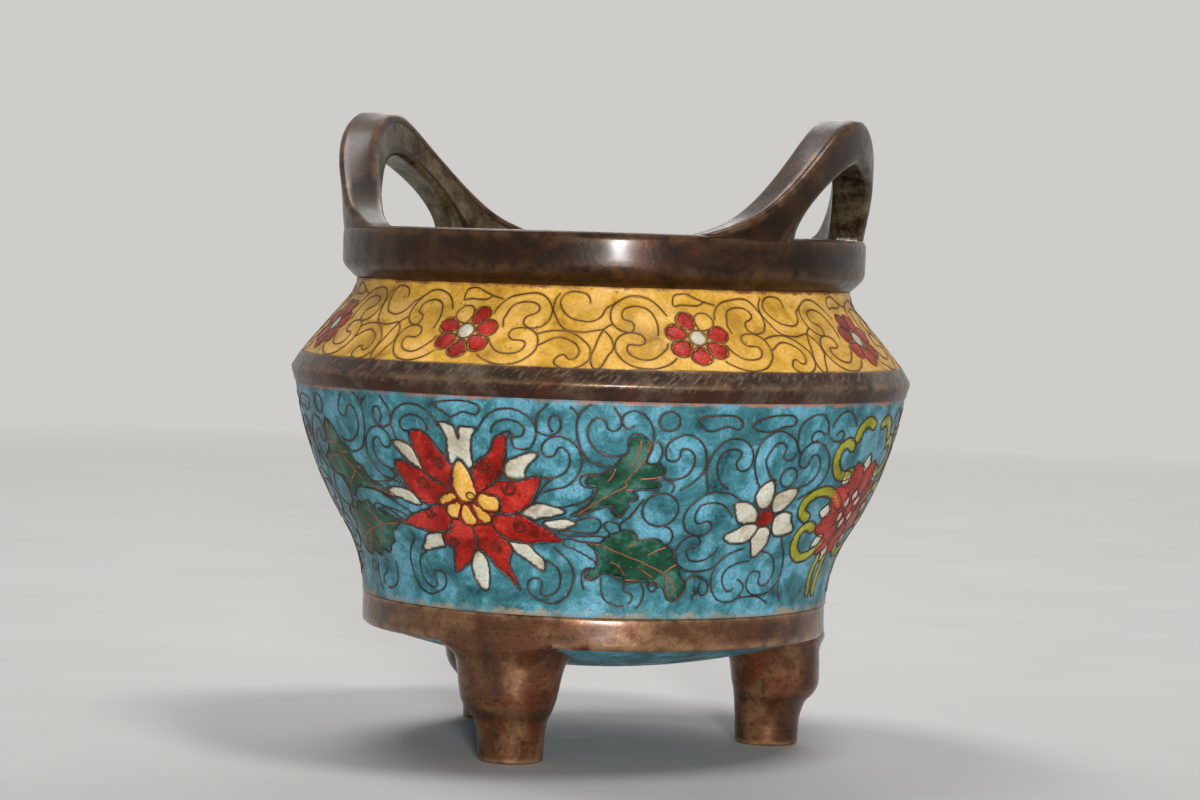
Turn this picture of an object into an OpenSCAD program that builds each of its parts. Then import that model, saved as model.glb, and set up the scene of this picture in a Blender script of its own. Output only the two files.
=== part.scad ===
// Cloisonne tripod censer: a copper bowl with bronze collar, waist ring, base ring, ears and feet,
// covered with enamel fields between scroll wires. Millimetres, Z up, feet on Z = 0.
// The ears stand on the X axis and the front foot on the -Y side.

/* [Bowl] */
// Widest diameter, at the tip of the waist ring
waist_d = 120; // [117:0.5:123]
// Thickness of the copper wall under the enamel
copper_wall = 1.6; // [1.2:0.1:2]
// Thickness of the fired enamel
enamel = 0.9; // [0.7:0.1:1.1]

/* [Rim and ears] */
// Outer diameter of the rim collar
rim_d = 100.8; // [99.8:0.2:102]
// Clear diameter of the mouth
mouth_d = 87; // [85:0.5:88]
// Rise of the ears above the rim
ear_rise = 22.4; // [21:0.2:25]
// Height of the opening under each ear
ear_gap = 14.1; // [12:0.1:15]

/* [Base and feet] */
// Outer diameter of the base ring
base_d = 89.8; // [89.4:0.2:91]
// Diameter of each foot where it stands
foot_d = 12.4; // [11.4:0.2:13.4]
// Turn of the three feet against the ears, in degrees
foot_turn = -3; // [-6:0.5:6]

/* [Enamel pattern] */
// Turn of the flowers against the ears, in degrees
pattern_turn = -4; // [-6:0.5:6]
// Width of a scroll wire
wire_w = 0.6; // [0.4:0.05:0.8]
// Height of the wires above the enamel ground
wire_proud = 0.2; // [0.15:0.05:0.3]
// Height of the coloured fields above the enamel ground
field_proud = 0.12; // [0.1:0.02:0.2]

/* [Hidden] */
$fn = 96;

// Levels of the joints, measured up from the floor
rim_top_z = 98.4;
rim_low_z = 88.5;
waist_z = 71.3;
belly_top_z = 68.4;
base_top_z = 28.4;
base_low_z = 22.2;
bottom_z = 15.2;

degree = 180 / PI;
skin = enamel + copper_wall;

// Small step where one piece meets the face of another
joint_step = 0.1;

// Rim collar
rim_r = rim_d / 2;
mouth_r = mouth_d / 2;
rim_bevel = 0.8;
rim_chamfer = 2.6;
neck_top_r = rim_r - rim_chamfer - joint_step;

// Neck: a fillet that turns from upright to the slope, then a straight cone to the waist ring
waist_r = waist_d / 2;
waist_ledge = 2;
neck_low_r = waist_r - waist_ledge;
neck_slope = 40;
neck_fillet = 5.8;
neck_fillet_len = neck_fillet * neck_slope / degree;
neck_cone_len = (neck_low_r - neck_top_r - neck_fillet * (1 - cos(neck_slope))) / sin(neck_slope);
neck_len = neck_fillet_len + neck_cone_len;

// Belly: a long convex arc, then a short concave one above the base ring
belly_top_r = waist_r - 1.05;
belly_lean = 9.5;
toe_lean = 32;
belly_round = 74;
belly_round_len = belly_round * (toe_lean - belly_lean) / degree;
toe_top_r = belly_top_r - belly_round * (cos(belly_lean) - cos(toe_lean));
toe_top_z = belly_top_z - belly_round * (sin(toe_lean) - sin(belly_lean));
toe_round = (toe_top_z - base_top_z) / sin(toe_lean);
belly_len = belly_round_len + toe_round * toe_lean / degree;
toe_r = toe_top_r - toe_round * (1 - cos(toe_lean));

// Base ring and rounded bottom
base_r = base_d / 2;
base_edge = 1.4;
base_thick = 2.3;
wall_foot_r = base_r - base_thick;
bottom_rise = base_low_z - bottom_z;
bottom_round = (wall_foot_r * wall_foot_r + bottom_rise * bottom_rise) / (2 * bottom_rise);
bottom_centre_z = bottom_z + bottom_round;

// Ears: arches that follow the rim, with the measures taken along the rim's outer face
ear_half_span = 40;
ear_foot_end = 38.5;
ear_gap_half = 20;
ear_gap_curve = 1.62;
ear_bulge = 0.9;
ear_rings = 30;
ear_thick = rim_r - mouth_r;
tenon_d = 3;
tenon_depth = 4;
tenon_at = 28;
tenon_angle = asin(tenon_at / rim_r);
tenon_r = (rim_r + mouth_r) / 2;

// Feet: each ring gives its height, its growth over the foot's radius along the rim and in depth, and its
// shift outwards. Above the crease the height is a share of the way up to the bowl
foot_r = foot_d / 2;
foot_ring_r = 34.6;
foot_sides = 18;
foot_crease_z = 10.9;
foot_low_rings = [[0, -0.3, -0.3, 0], [0.5, 0, 0, 0], [4, 0.15, 0.15, 0], [7.7, 0.6, 0.5, 0.2],
                  [9.6, 1, 0.8, 0.4], [foot_crease_z, 1.6, 1.2, 0.6]];
foot_cup_rings = [[0.14, 2.5, 1.8, 0.9], [0.28, 3.1, 2.1, 1.1], [0.46, 3.6, 2.3, 1.2], [0.73, 4.3, 3, 1.4],
                  [0.9, 5.4, 4.6, 1.9], [1, 7.2, 7.2, 2.4]];
foot_top_ring = foot_cup_rings[len(foot_cup_rings) - 1];
foot_seat_r = foot_r + foot_top_ring[1];
foot_seat_ring_r = foot_ring_r + foot_top_ring[3];
foot_angles = [foot_turn, foot_turn + 120, foot_turn - 120];

// Enamel pattern, laid out flat: across along the wall at this radius, and down from the band's top
pattern_r = 54;
quarter = pattern_r * PI / 2;
neck_repeat = pattern_r * PI / 4;
neck_flower_at = [0, 10];
lotus_at = [0.3, 20.2];
floret_at = [58.9, 22.5];
side_at = [quarter, 21.5];
petal_tip = 0.8;
hook_steps = 5;
hook_back_steps = 4;
hook_swell = 1.4;
lime_w = 2.1;
lime_steps = 4;
leaf_w = 11;
leaf_lobes = 5;
leaf_notch = 0.45;
leaf_tip = 0.02;
field_bevel = 0.95;
seat = 0.03;

// Outline of the belly and of the neck, as radius and height, at a way down and a depth below it
function belly_lean_at(down) =
  down < belly_round_len ? belly_lean + down / belly_round * degree
                         : toe_lean - (down - belly_round_len) / toe_round * degree;
function belly_point(down, depth) =
  let (a = belly_lean_at(down))
  (down < belly_round_len
    ? [belly_top_r - belly_round * (cos(belly_lean) - cos(a)),
       belly_top_z - belly_round * (sin(a) - sin(belly_lean))]
    : [toe_top_r - toe_round * (cos(a) - cos(toe_lean)),
       toe_top_z - toe_round * (sin(toe_lean) - sin(a))])
  + depth * [-cos(a), sin(a)];
function neck_point(down, depth) =
  let (a = min(neck_slope, down / neck_fillet * degree), run = max(0, down - neck_fillet_len))
  [neck_top_r + neck_fillet * (1 - cos(a)) + run * sin(a),
   rim_low_z - neck_fillet * sin(a) - run * cos(a)]
  - depth * [cos(a), sin(a)];

function backwards(list) = [for (i = [len(list) - 1 : -1 : 0]) list[i]];
belly_downs = [for (i = [0 : 20]) belly_len * i / 20];
neck_downs = concat([for (i = [0 : 5]) neck_fillet_len * i / 5], [neck_len]);
function belly_layer(outer, inner) =
  concat([for (t = belly_downs) belly_point(t, outer)],
         [for (t = backwards(belly_downs)) belly_point(t, inner)]);
function neck_layer(outer, inner) =
  concat([for (t = neck_downs) neck_point(t, outer)],
         [for (t = backwards(neck_downs)) neck_point(t, inner)]);
function bottom_point(r, depth) =
  [r, bottom_centre_z - sqrt(pow(bottom_round - depth, 2) - r * r)];

// A place on the enamel, from its flat place, at a height above the ground
function turned(p, across) =
  let (a = across / pattern_r * degree + pattern_turn) [p[0] * sin(a), -p[0] * cos(a), p[1]];
function on_belly(p, proud) = turned(belly_point(p[1], -proud), p[0]);
function on_neck(p, proud) = turned(neck_point(p[1], -proud), p[0]);
function on_band(band, p, proud) = band == "neck" ? on_neck(p, proud) : on_belly(p, proud);

// Flat outlines of the pattern
function rotated(p, a) = [p[0] * cos(a) - p[1] * sin(a), p[0] * sin(a) + p[1] * cos(a)];
function placed(list, at, a) = [for (p = list) at + rotated(p, a)];
function mirrored(list) = [for (p = list) [-p[0], p[1]]];
function shifted(list, across) = [for (p = list) [p[0] + across, p[1]]];
function total(list, i = 0) = i == len(list) - 1 ? list[i] : list[i] + total(list, i + 1);
function middle(list) = total(list) / len(list);

// Petal from its base to a pointed or round tip, along +X before it is turned
function petal(length, width, fullness, sides) =
  [for (i = [0 : 2 * sides - 1])
    let (u = i < sides ? i / sides : (2 * sides - i) / sides,
         half = width / 2 * pow(sin(180 * pow(u, fullness)), petal_tip))
    [length * u, i < sides ? -half : half]];
function petal_to(from, to, width, fullness, sides) =
  placed(petal(norm(to - from), width, fullness, sides), from,
         atan2(to[1] - from[1], to[0] - from[0]));
function round_field(at, r, sides) =
  [for (i = [0 : sides - 1]) at + r * [cos(360 * i / sides), sin(360 * i / sides)]];

// Scroll line that winds in, and a cloud hook: the wire out along a scroll strip, round its head and back
function scroll(at, start_r, end_r, start, sweep, offset, steps, swell = 1) =
  [for (i = [0 : steps])
    let (u = i / steps, a = start + sweep * u,
         r = start_r + (end_r - start_r) * u + offset * (u < 1 ? 1 : swell))
    at + r * [cos(a), sin(a)]];
function hook(at, start_r, end_r, start, sweep, width) =
  let (out = scroll(at, start_r, end_r, start, sweep, width / 2, hook_steps),
       back = backwards(scroll(at, start_r, end_r, start, sweep, -width / 2, hook_back_steps, hook_swell)),
       half = (out[hook_steps] - back[0]) / 2,
       head = (out[hook_steps] + back[0]) / 2 + sign(sweep) * [-half[1], half[0]])
  concat(out, [head], back);

// Vein of a leaf, bent from its stem to its tip, and the lobed width of the leaf along it
leaf_steps = 10;
function vein(from, bend, to) =
  [for (i = [0 : leaf_steps])
    let (u = i / leaf_steps) from * pow(1 - u, 2) + bend * 2 * u * (1 - u) + to * pow(u, 2)];
leaf_widths = [for (i = [0 : leaf_steps])
  let (u = leaf_tip + (1 - 2 * leaf_tip) * i / leaf_steps)
  leaf_w * pow(sin(180 * u), petal_tip) * (1 - leaf_notch * (0.5 + 0.5 * cos(360 * leaf_lobes * u)))];

// Raised fields of one colour, all with the same number of corners
function field_points(band, outline) =
  let (centre = middle(outline))
  concat([for (p = outline) on_band(band, p, -seat)], [for (p = outline) on_band(band, p, field_proud)],
         [on_band(band, centre, -seat), on_band(band, centre, field_proud)]);
function field_faces(n, first) =
  [for (i = [0 : n - 1])
    let (j = (i + 1) % n)
    each [[first + i, first + j, first + n + j], [first + i, first + n + j, first + n + i],
          [first + j, first + i, first + 2 * n], [first + n + i, first + n + j, first + 2 * n + 1]]];
module fields(band, outlines) {
  n = len(outlines[0]);
  polyhedron([for (o = outlines) each field_points(band, o)],
             [for (k = [0 : len(outlines) - 1]) each field_faces(n, k * (2 * n + 2))]);
}

// Ribbons along flat lines, all with the same number of steps and the same widths along them. A section
// gives each edge's place across the ribbon, in half widths, and its height above the ground
function unit(v) = v / norm(v);
function along(line, i) = unit(line[min(i + 1, len(line) - 1)] - line[max(i - 1, 0)]);
function ribbon_points(band, line, widths, section) =
  [for (i = [0 : len(line) - 1])
    let (d = along(line, i), side = widths[i] / 2 * [-d[1], d[0]])
    for (q = section) on_band(band, line[i] + q[0] * side, q[1])];
function ribbon_faces(n, m, first) =
  let (end = first + m * (n - 1))
  concat([for (i = [0 : n - 2], j = [0 : m - 1])
           let (a = first + m * i + j, b = first + m * i + (j + 1) % m)
           each [[a, b, b + m], [a, b + m, a + m]]],
         [for (j = [1 : m - 2]) each [[first, first + j + 1, first + j], [end, end + j, end + j + 1]]]);
module ribbons(band, lines, widths, section) {
  n = len(lines[0]);
  m = len(section);
  polyhedron([for (l = lines) each ribbon_points(band, l, widths, section)],
             [for (k = [0 : len(lines) - 1]) each ribbon_faces(n, m, k * m * n)]);
}
module wires(band, lines) {
  section = [[-1, -seat], [1, -seat], [0, wire_proud]];
  ribbons(band, lines, [for (p = lines[0]) wire_w], section);
}
field_section = [[-1, -seat], [1, -seat], [field_bevel, field_proud], [-field_bevel, field_proud]];

// Repeats round the vessel
function round_neck(list) = [for (k = [0 : 7], l = list) shifted(l, k * neck_repeat)];
function both_ways(list) = concat(list, [for (l = list) backwards(mirrored(l))]);
function both_lines(list) = concat(list, [for (l = list) mirrored(l)]);
function twice(list) = [for (k = [0, 2], l = list) shifted(l, k * quarter)];

// Lotus at the front and back: red petals, white ones between their tips, and a yellow heart
lotus_red_tips = [[8.5, -14], [14.4, -5.8], [18.2, 7.4], [7.8, 17]];
lotus_red = [for (tip = lotus_red_tips)
  petal_to(lotus_at + 0.42 * tip, lotus_at + tip, 6.4, 0.75, 6)];
lotus_white_tips = [[13.9, -9.8], [18.8, 2], [13.4, 14]];
lotus_white_mid_tips = [[0, -15.5], [0.8, 18.3]];
lotus_white = [for (tip = lotus_white_tips) petal_to(lotus_at + 0.72 * tip, lotus_at + tip, 2.6, 0.9, 5)];
lotus_white_mid = [for (tip = lotus_white_mid_tips)
  petal_to(lotus_at + 0.6 * tip, lotus_at + tip, 4, 0.9, 5)];
lotus_bud = petal_to(lotus_at + [0, -0.4], lotus_at + [0, -8.4], 4.4, 0.8, 5);
lotus_heart = [for (a = [2, 46]) placed(petal(4.6, 2.9, 1.2, 5), lotus_at + rotated([2, 0.6], a), a)];

// Leaves on the right and on the left of each lotus
leaf_veins = [vein([20.8, 21.6], [30.6, 17.6], [33.2, 5.4]), vein([23.5, 27.8], [35, 27.6], [43.8, 38]),
              vein([-18, 20.6], [-29.6, 18.6], [-34.6, 6.4]), vein([-20, 25.6], [-31, 26.5], [-40, 32.6])];

// Small flower between the leaves and the side flower: the turn and the length of each petal
floret_turns = [[-156, 5.6], [-96, 6.2], [-42, 6.4], [18, 6.8], [80, 6.6], [146, 6.6]];
floret_start = 2.4;
floret = [for (q = floret_turns)
  placed(petal(q[1], 4.5, 0.95, 4), floret_at + rotated([floret_start, 0], q[0]), q[0])];
floret_eye_r = 1.8;

// Side flower over each end of the ear axis, with lime hooks round it
side_red = [for (a = [-67.5, -22.5, 22.5, 67.5])
  placed(petal(6.4, 4.3, 0.85, 5), side_at + rotated([2.8, 0], a), a)];
side_white = [for (a = [-45, 0, 45])
  placed(petal(3, 2.4, 1, 4), side_at + rotated([7.2, 0], a), a)];
lime_hooks = [scroll([75.2, 10.4], 4.2, 2.6, 80, 225, 0, lime_steps),
              scroll([71.3, 21.2], 5.4, 2.4, -45, -215, 0, lime_steps),
              scroll([74.3, 28.4], 5.4, 2.4, 35, 235, 0, lime_steps),
              scroll([80.2, 5.4], 3.2, 3, -10, -160, 0, lime_steps)];

// Cloud hooks of the neck, from one flower to the next, and of the belly, beside one lotus
neck_hooks = [hook([9.9, 5.9], 4.2, 2.2, 185, 220, 1.8), hook([9.2, 13.2], 3.6, 2.2, 130, -235, 1.8),
              hook([18.3, 13.6], 3.5, 2, -155, 255, 1.7), hook([32.5, 5.9], 4.2, 2.2, -5, -220, 1.8),
              hook([33.2, 13.2], 3.6, 2.2, 50, 235, 1.8)];
belly_hooks = [hook([16.4, 9], 3, 1.9, 60, -200, 1.6), hook([7, 3.8], 2.4, 1.5, 200, 200, 1.4),
               hook([25.2, 6.6], 3.9, 2.4, 75, 230, 1.8), hook([40, 11.2], 4.2, 2.6, 80, -215, 2),
               hook([49.6, 10.6], 3.8, 2.2, 120, 235, 2), hook([58.6, 8.2], 3.6, 2.2, 130, 215, 1.8),
               hook([66.6, 11.6], 3.2, 2.2, 60, -215, 1.8), hook([46.4, 20.4], 3.6, 2.2, -20, -235, 2),
               hook([46.4, 28], 3.8, 2.2, 30, 215, 1.8), hook([55, 35.4], 3.4, 2, -60, -250, 1.8),
               hook([64.6, 35.2], 3.8, 2.2, -100, 260, 1.8), hook([19.6, 35.2], 3.8, 2.2, -65, 235, 1.8)];

// Metal pieces
module tenon()
  translate([tenon_r, 0, rim_top_z - tenon_depth]) cylinder(d = tenon_d, h = tenon_depth + 1);
module rim_collar() color("#6f573d") difference() {
  rotate_extrude()
    polygon([[mouth_r, rim_low_z], [neck_top_r, rim_low_z], [rim_r, rim_low_z + rim_chamfer],
             [rim_r, rim_top_z - rim_bevel], [rim_r - rim_bevel, rim_top_z], [mouth_r, rim_top_z]]);
  for (side = [0, 180], a = [-tenon_angle, tenon_angle])
    rotate(side + a) tenon();
}

// Cross-section of the ear from the gap, at -1, to the top edge, at 1, with broken corners
ear_section = [[1, -0.72], [1.05, 0], [1, 0.72], [0.86, 1], [-0.86, 1], [-1, 0.72], [-1, -0.72], [-0.86, -1],
               [0.86, -1]];
function ear_gap_edge(a) = [ear_gap_half * pow(cos(a), 2 / ear_gap_curve),
                            rim_top_z + ear_gap * pow(sin(a), 2 / ear_gap_curve)];
function ear_top_edge(a) =
  let (s = ear_foot_end * (1 - a / 90))
  [s, a == 0 ? rim_top_z : rim_top_z + ear_rise * pow(cos(90 * s / ear_half_span), 2)];
function ear_ring(u) =
  let (a = 90 * (1 - abs(u)), gap = ear_gap_edge(a), top = ear_top_edge(a), side = u < 0 ? -1 : 1)
  [for (q = ear_section)
    let (p = gap + (top - gap) * (q[0] + 1) / 2,
         z = max(p[1], rim_top_z),
         r = (rim_r + mouth_r) / 2 + q[1] * ear_thick / 2
             + (q[1] > 0 ? ear_bulge * sin(90 * min(1, (z - rim_top_z) / ear_gap)) : 0),
         d = side * asin(max(p[0], 0) / rim_r))
    [r * cos(d), r * sin(d), z]];
module ear() {
  n = len(ear_section);
  rings = [for (i = [0 : ear_rings]) ear_ring(2 * i / ear_rings - 1)];
  walls = [for (i = [0 : ear_rings - 1], j = [0 : n - 1])
    let (a = i * n + j, b = i * n + (j + 1) % n) each [[a, a + n, b + n], [a, b + n, b]]];
  ends = [for (j = [1 : n - 2]) each [[0, j, j + 1],
    [ear_rings * n, ear_rings * n + j + 1, ear_rings * n + j]]];
  polyhedron([for (r = rings) each r], concat(walls, ends));
  for (a = [-tenon_angle, tenon_angle]) rotate(a) tenon();
}
module ear_left() color("#7a6044") rotate(180) ear();
module ear_right() color("#7a6044") ear();

module neck_wall() color("#a06a45") rotate_extrude() polygon(neck_layer(enamel, skin));
module waist_ring() color("#5d4634") rotate_extrude()
  polygon([neck_point(neck_len, 0), [waist_r, waist_z], belly_point(0, 0), belly_point(0, skin),
           neck_point(neck_len, skin)]);

bottom_steps = 14;
bottom_inner_r = wall_foot_r - copper_wall;
inner_end = belly_len - skin;
module belly_wall() color("#a06a45") rotate_extrude()
  polygon(concat([for (t = belly_downs) belly_point(t, enamel)], [[wall_foot_r, base_top_z]],
                 [for (i = [bottom_steps : -1 : 0]) bottom_point(wall_foot_r * i / bottom_steps, enamel)],
                 [for (i = [0 : bottom_steps]) bottom_point(bottom_inner_r * i / bottom_steps, skin)],
                 [[bottom_inner_r, base_top_z]],
                 [for (t = backwards(belly_downs)) if (t < inner_end) belly_point(t, skin)]));
module bottom_enamel() color("#3c8fa6") difference() {
  rotate_extrude()
    polygon(concat([for (i = [bottom_steps : -1 : 0]) bottom_point(wall_foot_r * i / bottom_steps, 0)],
                   [for (i = [0 : bottom_steps]) bottom_point(wall_foot_r * i / bottom_steps, enamel)]));
  for (a = foot_angles)
    rotate(a) translate([0, -foot_seat_ring_r, 0]) cylinder(r = foot_seat_r, h = base_top_z);
}
module base_ring() color("#5d4634") rotate_extrude()
  polygon([[wall_foot_r, base_low_z], [wall_foot_r, base_top_z], [base_r, base_top_z],
           [base_r, base_low_z + base_edge], [base_r - base_edge / 3, base_low_z + base_edge / 3],
           [base_r - base_edge, base_low_z]]);

// Foot: a waisted leg that swells into a cup and is brazed to the copper bottom and under the base ring
function foot_seat_z(r) = r < wall_foot_r - joint_step / 2 ? bottom_point(r, enamel)[1] : base_low_z;
function foot_spot(q, a, share = 1) =
  let (x = share * (foot_r + q[1]) * sin(a), y = foot_ring_r + q[3] + share * (foot_r + q[2]) * cos(a),
       fit = min(1, (base_r - joint_step) / norm([x, y])))
  [x * fit, -y * fit];
function foot_low_ring(q) =
  [for (j = [1 : foot_sides]) let (p = foot_spot(q, 360 * j / foot_sides)) [p[0], p[1], q[0]]];
function foot_cup_ring(q, share = 1) =
  [for (j = [1 : foot_sides])
    let (p = foot_spot(q, 360 * j / foot_sides, share), seat_z = foot_seat_z(norm(p)))
    [p[0], p[1], foot_crease_z + q[0] * (seat_z - foot_crease_z)]];
module foot(a) rotate(a) {
  rings = concat([for (q = foot_low_rings) foot_low_ring(q)], [for (q = foot_cup_rings) foot_cup_ring(q)],
                 [foot_cup_ring(foot_top_ring, 0.5)]);
  n = foot_sides;
  last = len(rings) - 1;
  middle_low = len(rings) * n;
  walls = [for (i = [0 : last - 1], j = [0 : n - 1])
    let (p = i * n + j, q = i * n + (j + 1) % n) each [[p, q, q + n], [p, q + n, p + n]]];
  caps = [for (j = [0 : n - 1])
    let (k = (j + 1) % n) each [[middle_low, k, j], [middle_low + 1, last * n + j, last * n + k]]];
  polyhedron(concat([for (r = rings) each r],
                    [[0, -foot_ring_r, 0], [0, -foot_seat_ring_r, foot_seat_z(foot_seat_ring_r)]]),
             concat(walls, caps));
}
module foot_front() color("#6b513a") foot(foot_angles[0]);
module foot_right() color("#6b513a") foot(foot_angles[1]);
module foot_left() color("#6b513a") foot(foot_angles[2]);

// Enamel of the neck
neck_petal_r = 1.65;
neck_petal_ring_r = 3.9;
neck_eye_r = 1.7;
neck_petals = [for (k = [0 : 6])
  round_field(neck_flower_at + rotated([neck_petal_ring_r, 0], 360 * k / 7 - 90), neck_petal_r, 6)];
module neck_ground() color("#e0a52d") rotate_extrude() polygon(neck_layer(0, enamel));
module neck_flower_petals() color("#b4231e") fields("neck", round_neck(neck_petals));
module neck_flower_eyes() color("#e1d7b9")
  fields("neck", round_neck([round_field(neck_flower_at, neck_eye_r, 6)]));
module neck_wires() color("#5a3a26") wires("neck", round_neck(neck_hooks));

// Enamel of the belly
module belly_ground() color("#4696aa") rotate_extrude() polygon(belly_layer(0, enamel));
module lotus_red_petals() color("#b4231e") fields("belly", twice(both_ways(lotus_red)));
module lotus_white_petals() color("#e1d7b9")
  fields("belly", twice(concat(both_ways(lotus_white), lotus_white_mid)));
module lotus_hearts() color("#e8b432") fields("belly", twice(concat(both_ways(lotus_heart), [lotus_bud])));
module leaves() color("#235a41") ribbons("belly", twice(leaf_veins), leaf_widths, field_section);
module floret_petals() color("#e1d7b9") fields("belly", twice(both_ways(floret)));
module floret_eyes() color("#b4231e")
  fields("belly", twice(both_ways([round_field(floret_at, floret_eye_r, 6)])));
module side_flower_red_petals() color("#b4231e") fields("belly", twice(both_ways(side_red)));
module side_flower_white_petals() color("#e1d7b9") fields("belly", twice(both_ways(side_white)));
module hook_scrolls() color("#aaaa28")
  ribbons("belly", twice(both_lines(lime_hooks)), [for (p = lime_hooks[0]) lime_w], field_section);
module belly_wires() color("#5a3a26") wires("belly", twice(both_lines(belly_hooks)));

rim_collar();
ear_left();
ear_right();
neck_wall();
waist_ring();
belly_wall();
base_ring();
foot_front();
foot_right();
foot_left();
neck_ground();
neck_flower_petals();
neck_flower_eyes();
neck_wires();
belly_ground();
lotus_red_petals();
lotus_white_petals();
lotus_hearts();
leaves();
floret_petals();
floret_eyes();
side_flower_red_petals();
side_flower_white_petals();
hook_scrolls();
belly_wires();
bottom_enamel();
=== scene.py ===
"""Looks of a cloisonne tripod censer: every piece in metres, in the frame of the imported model."""
import math

import bpy
from mathutils import Matrix, Vector, geometry, kdtree, noise


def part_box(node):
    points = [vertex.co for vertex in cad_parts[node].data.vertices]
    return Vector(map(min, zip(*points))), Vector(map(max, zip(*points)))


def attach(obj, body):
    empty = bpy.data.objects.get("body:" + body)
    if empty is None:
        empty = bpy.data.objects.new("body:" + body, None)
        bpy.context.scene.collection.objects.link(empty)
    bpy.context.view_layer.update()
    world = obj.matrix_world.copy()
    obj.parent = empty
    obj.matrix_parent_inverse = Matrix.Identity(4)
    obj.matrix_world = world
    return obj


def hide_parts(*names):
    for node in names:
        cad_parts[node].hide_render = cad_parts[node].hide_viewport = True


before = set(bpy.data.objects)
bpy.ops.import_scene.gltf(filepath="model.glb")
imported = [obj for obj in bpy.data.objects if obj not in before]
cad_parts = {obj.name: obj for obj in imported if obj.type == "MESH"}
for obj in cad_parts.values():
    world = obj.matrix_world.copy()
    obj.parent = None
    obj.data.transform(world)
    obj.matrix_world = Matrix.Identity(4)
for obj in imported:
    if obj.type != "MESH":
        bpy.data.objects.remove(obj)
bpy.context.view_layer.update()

MM = 0.001


def node_size(node):
    """Outer radius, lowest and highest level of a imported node, in millimetres."""
    low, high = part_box(node)
    return high.y / MM, low.z / MM, high.z / MM


# Levels and radii of the metal, in millimetres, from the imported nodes
rim_r, rim_low_z, rim_top_z = node_size("rim_collar")
waist_r, belly_top_z, _ = node_size("waist_ring")
base_r, base_low_z, base_top_z = node_size("base_ring")
ear_top_z = node_size("ear_right")[2]
bottom_z = node_size("bottom_enamel")[1]
waist_z = 71.3
mouth_r = 43.5
enamel_depth = 0.9
copper_wall = 1.6
skin = enamel_depth + copper_wall

# Neck outline: a fillet from upright to the slope, then a cone
rim_chamfer = 2.6
rim_bevel = 0.8
neck_top_r = rim_r - rim_chamfer - 0.1
neck_low_r = waist_r - 2
neck_slope = math.radians(40)
neck_fillet = 5.8
neck_fillet_len = neck_fillet * neck_slope
neck_run = neck_low_r - neck_top_r - neck_fillet * (1 - math.cos(neck_slope))
neck_len = neck_fillet_len + neck_run / math.sin(neck_slope)

# Belly outline: a long convex arc, then a short hollow one above the base ring
belly_top_r = waist_r - 1.05
belly_lean = math.radians(9.5)
toe_lean = math.radians(32)
belly_round = 74
belly_round_len = belly_round * (toe_lean - belly_lean)
toe_top_r = belly_top_r - belly_round * (math.cos(belly_lean) - math.cos(toe_lean))
toe_top_z = belly_top_z - belly_round * (math.sin(toe_lean) - math.sin(belly_lean))
toe_round = (toe_top_z - base_top_z) / math.sin(toe_lean)
belly_len = belly_round_len + toe_round * toe_lean

# Base ring and rounded bottom
base_face_r = base_r - 0.1
base_edge = 1.3
wall_foot_r = base_r - 2.3
bottom_rise = base_low_z - bottom_z
bottom_round = (wall_foot_r ** 2 + bottom_rise ** 2) / (2 * bottom_rise)

# Flat layout of the pattern: across along the wall at this radius, down from the band's top
pattern_r = 54
pattern_turn = math.radians(-4)
quarter = pattern_r * math.pi / 2
neck_repeat = pattern_r * math.pi / 4


def neck_point(down, depth=0.0):
    """Radius and level of a place on the neck, this far down its slope and below its surface."""
    a = min(neck_slope, down / neck_fillet)
    run = max(0.0, down - neck_fillet_len)
    r = neck_top_r + neck_fillet * (1 - math.cos(a)) + run * math.sin(a)
    z = rim_low_z - neck_fillet * math.sin(a) - run * math.cos(a)
    return r - depth * math.cos(a), z - depth * math.sin(a)


def belly_point(down, depth=0.0):
    """The same on the belly."""
    if down < belly_round_len:
        a = belly_lean + down / belly_round
        r = belly_top_r - belly_round * (math.cos(belly_lean) - math.cos(a))
        z = belly_top_z - belly_round * (math.sin(a) - math.sin(belly_lean))
    else:
        a = toe_lean - (down - belly_round_len) / toe_round
        r = toe_top_r - toe_round * (math.cos(a) - math.cos(toe_lean))
        z = toe_top_z - toe_round * (math.sin(toe_lean) - math.sin(a))
    return r - depth * math.cos(a), z + depth * math.sin(a)


def bottom_point(r, depth):
    return r, bottom_z + bottom_round - math.sqrt((bottom_round - depth) ** 2 - r * r)


def smooth_step(x):
    x = min(1.0, max(0.0, x))
    return x * x * (3 - 2 * x)


def turned(r, z, angle):
    return Vector((r * math.sin(angle), -r * math.cos(angle), z))


# Unevenness of hand work: lengths of its waves in millimetres, and their shares
broad_wave, broad_share = 19, 0.7
fine_wave, fine_share = 6, 0.3
lift_wave, lift_share = 23, 0.5
lift_offset = Vector((7, 3, 5))
enamel_unevenness = 0.12


def worked(p, amount):
    """Moves a point in or out, and up or down, by up to about this amount."""
    out = broad_share * noise.noise(p / broad_wave) + fine_share * noise.noise(p / fine_wave)
    lift = noise.noise(p / lift_wave + lift_offset)
    r = max(1.0, math.hypot(p.x, p.y))
    scale = 1 + amount * out / r
    return Vector((p.x * scale, p.y * scale, p.z + lift_share * amount * lift))


def on_band(band, across, down, proud):
    """A place on the enamel of the neck or the belly, from its flat place and its height."""
    r, z = (neck_point if band == "neck" else belly_point)(down, -proud)
    return worked(turned(r, z, across / pattern_r + pattern_turn), enamel_unevenness)


# Mesh helpers

def grid_faces(rows, columns, close_rows):
    """Four-sided faces of a grid of points. Its columns go round, and its rows may too."""
    faces = []
    for i in range(rows if close_rows else rows - 1):
        below = (i + 1) % rows
        for j in range(columns):
            k = (j + 1) % columns
            faces.append((i * columns + j, below * columns + j,
                          below * columns + k, i * columns + k))
    return faces


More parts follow.
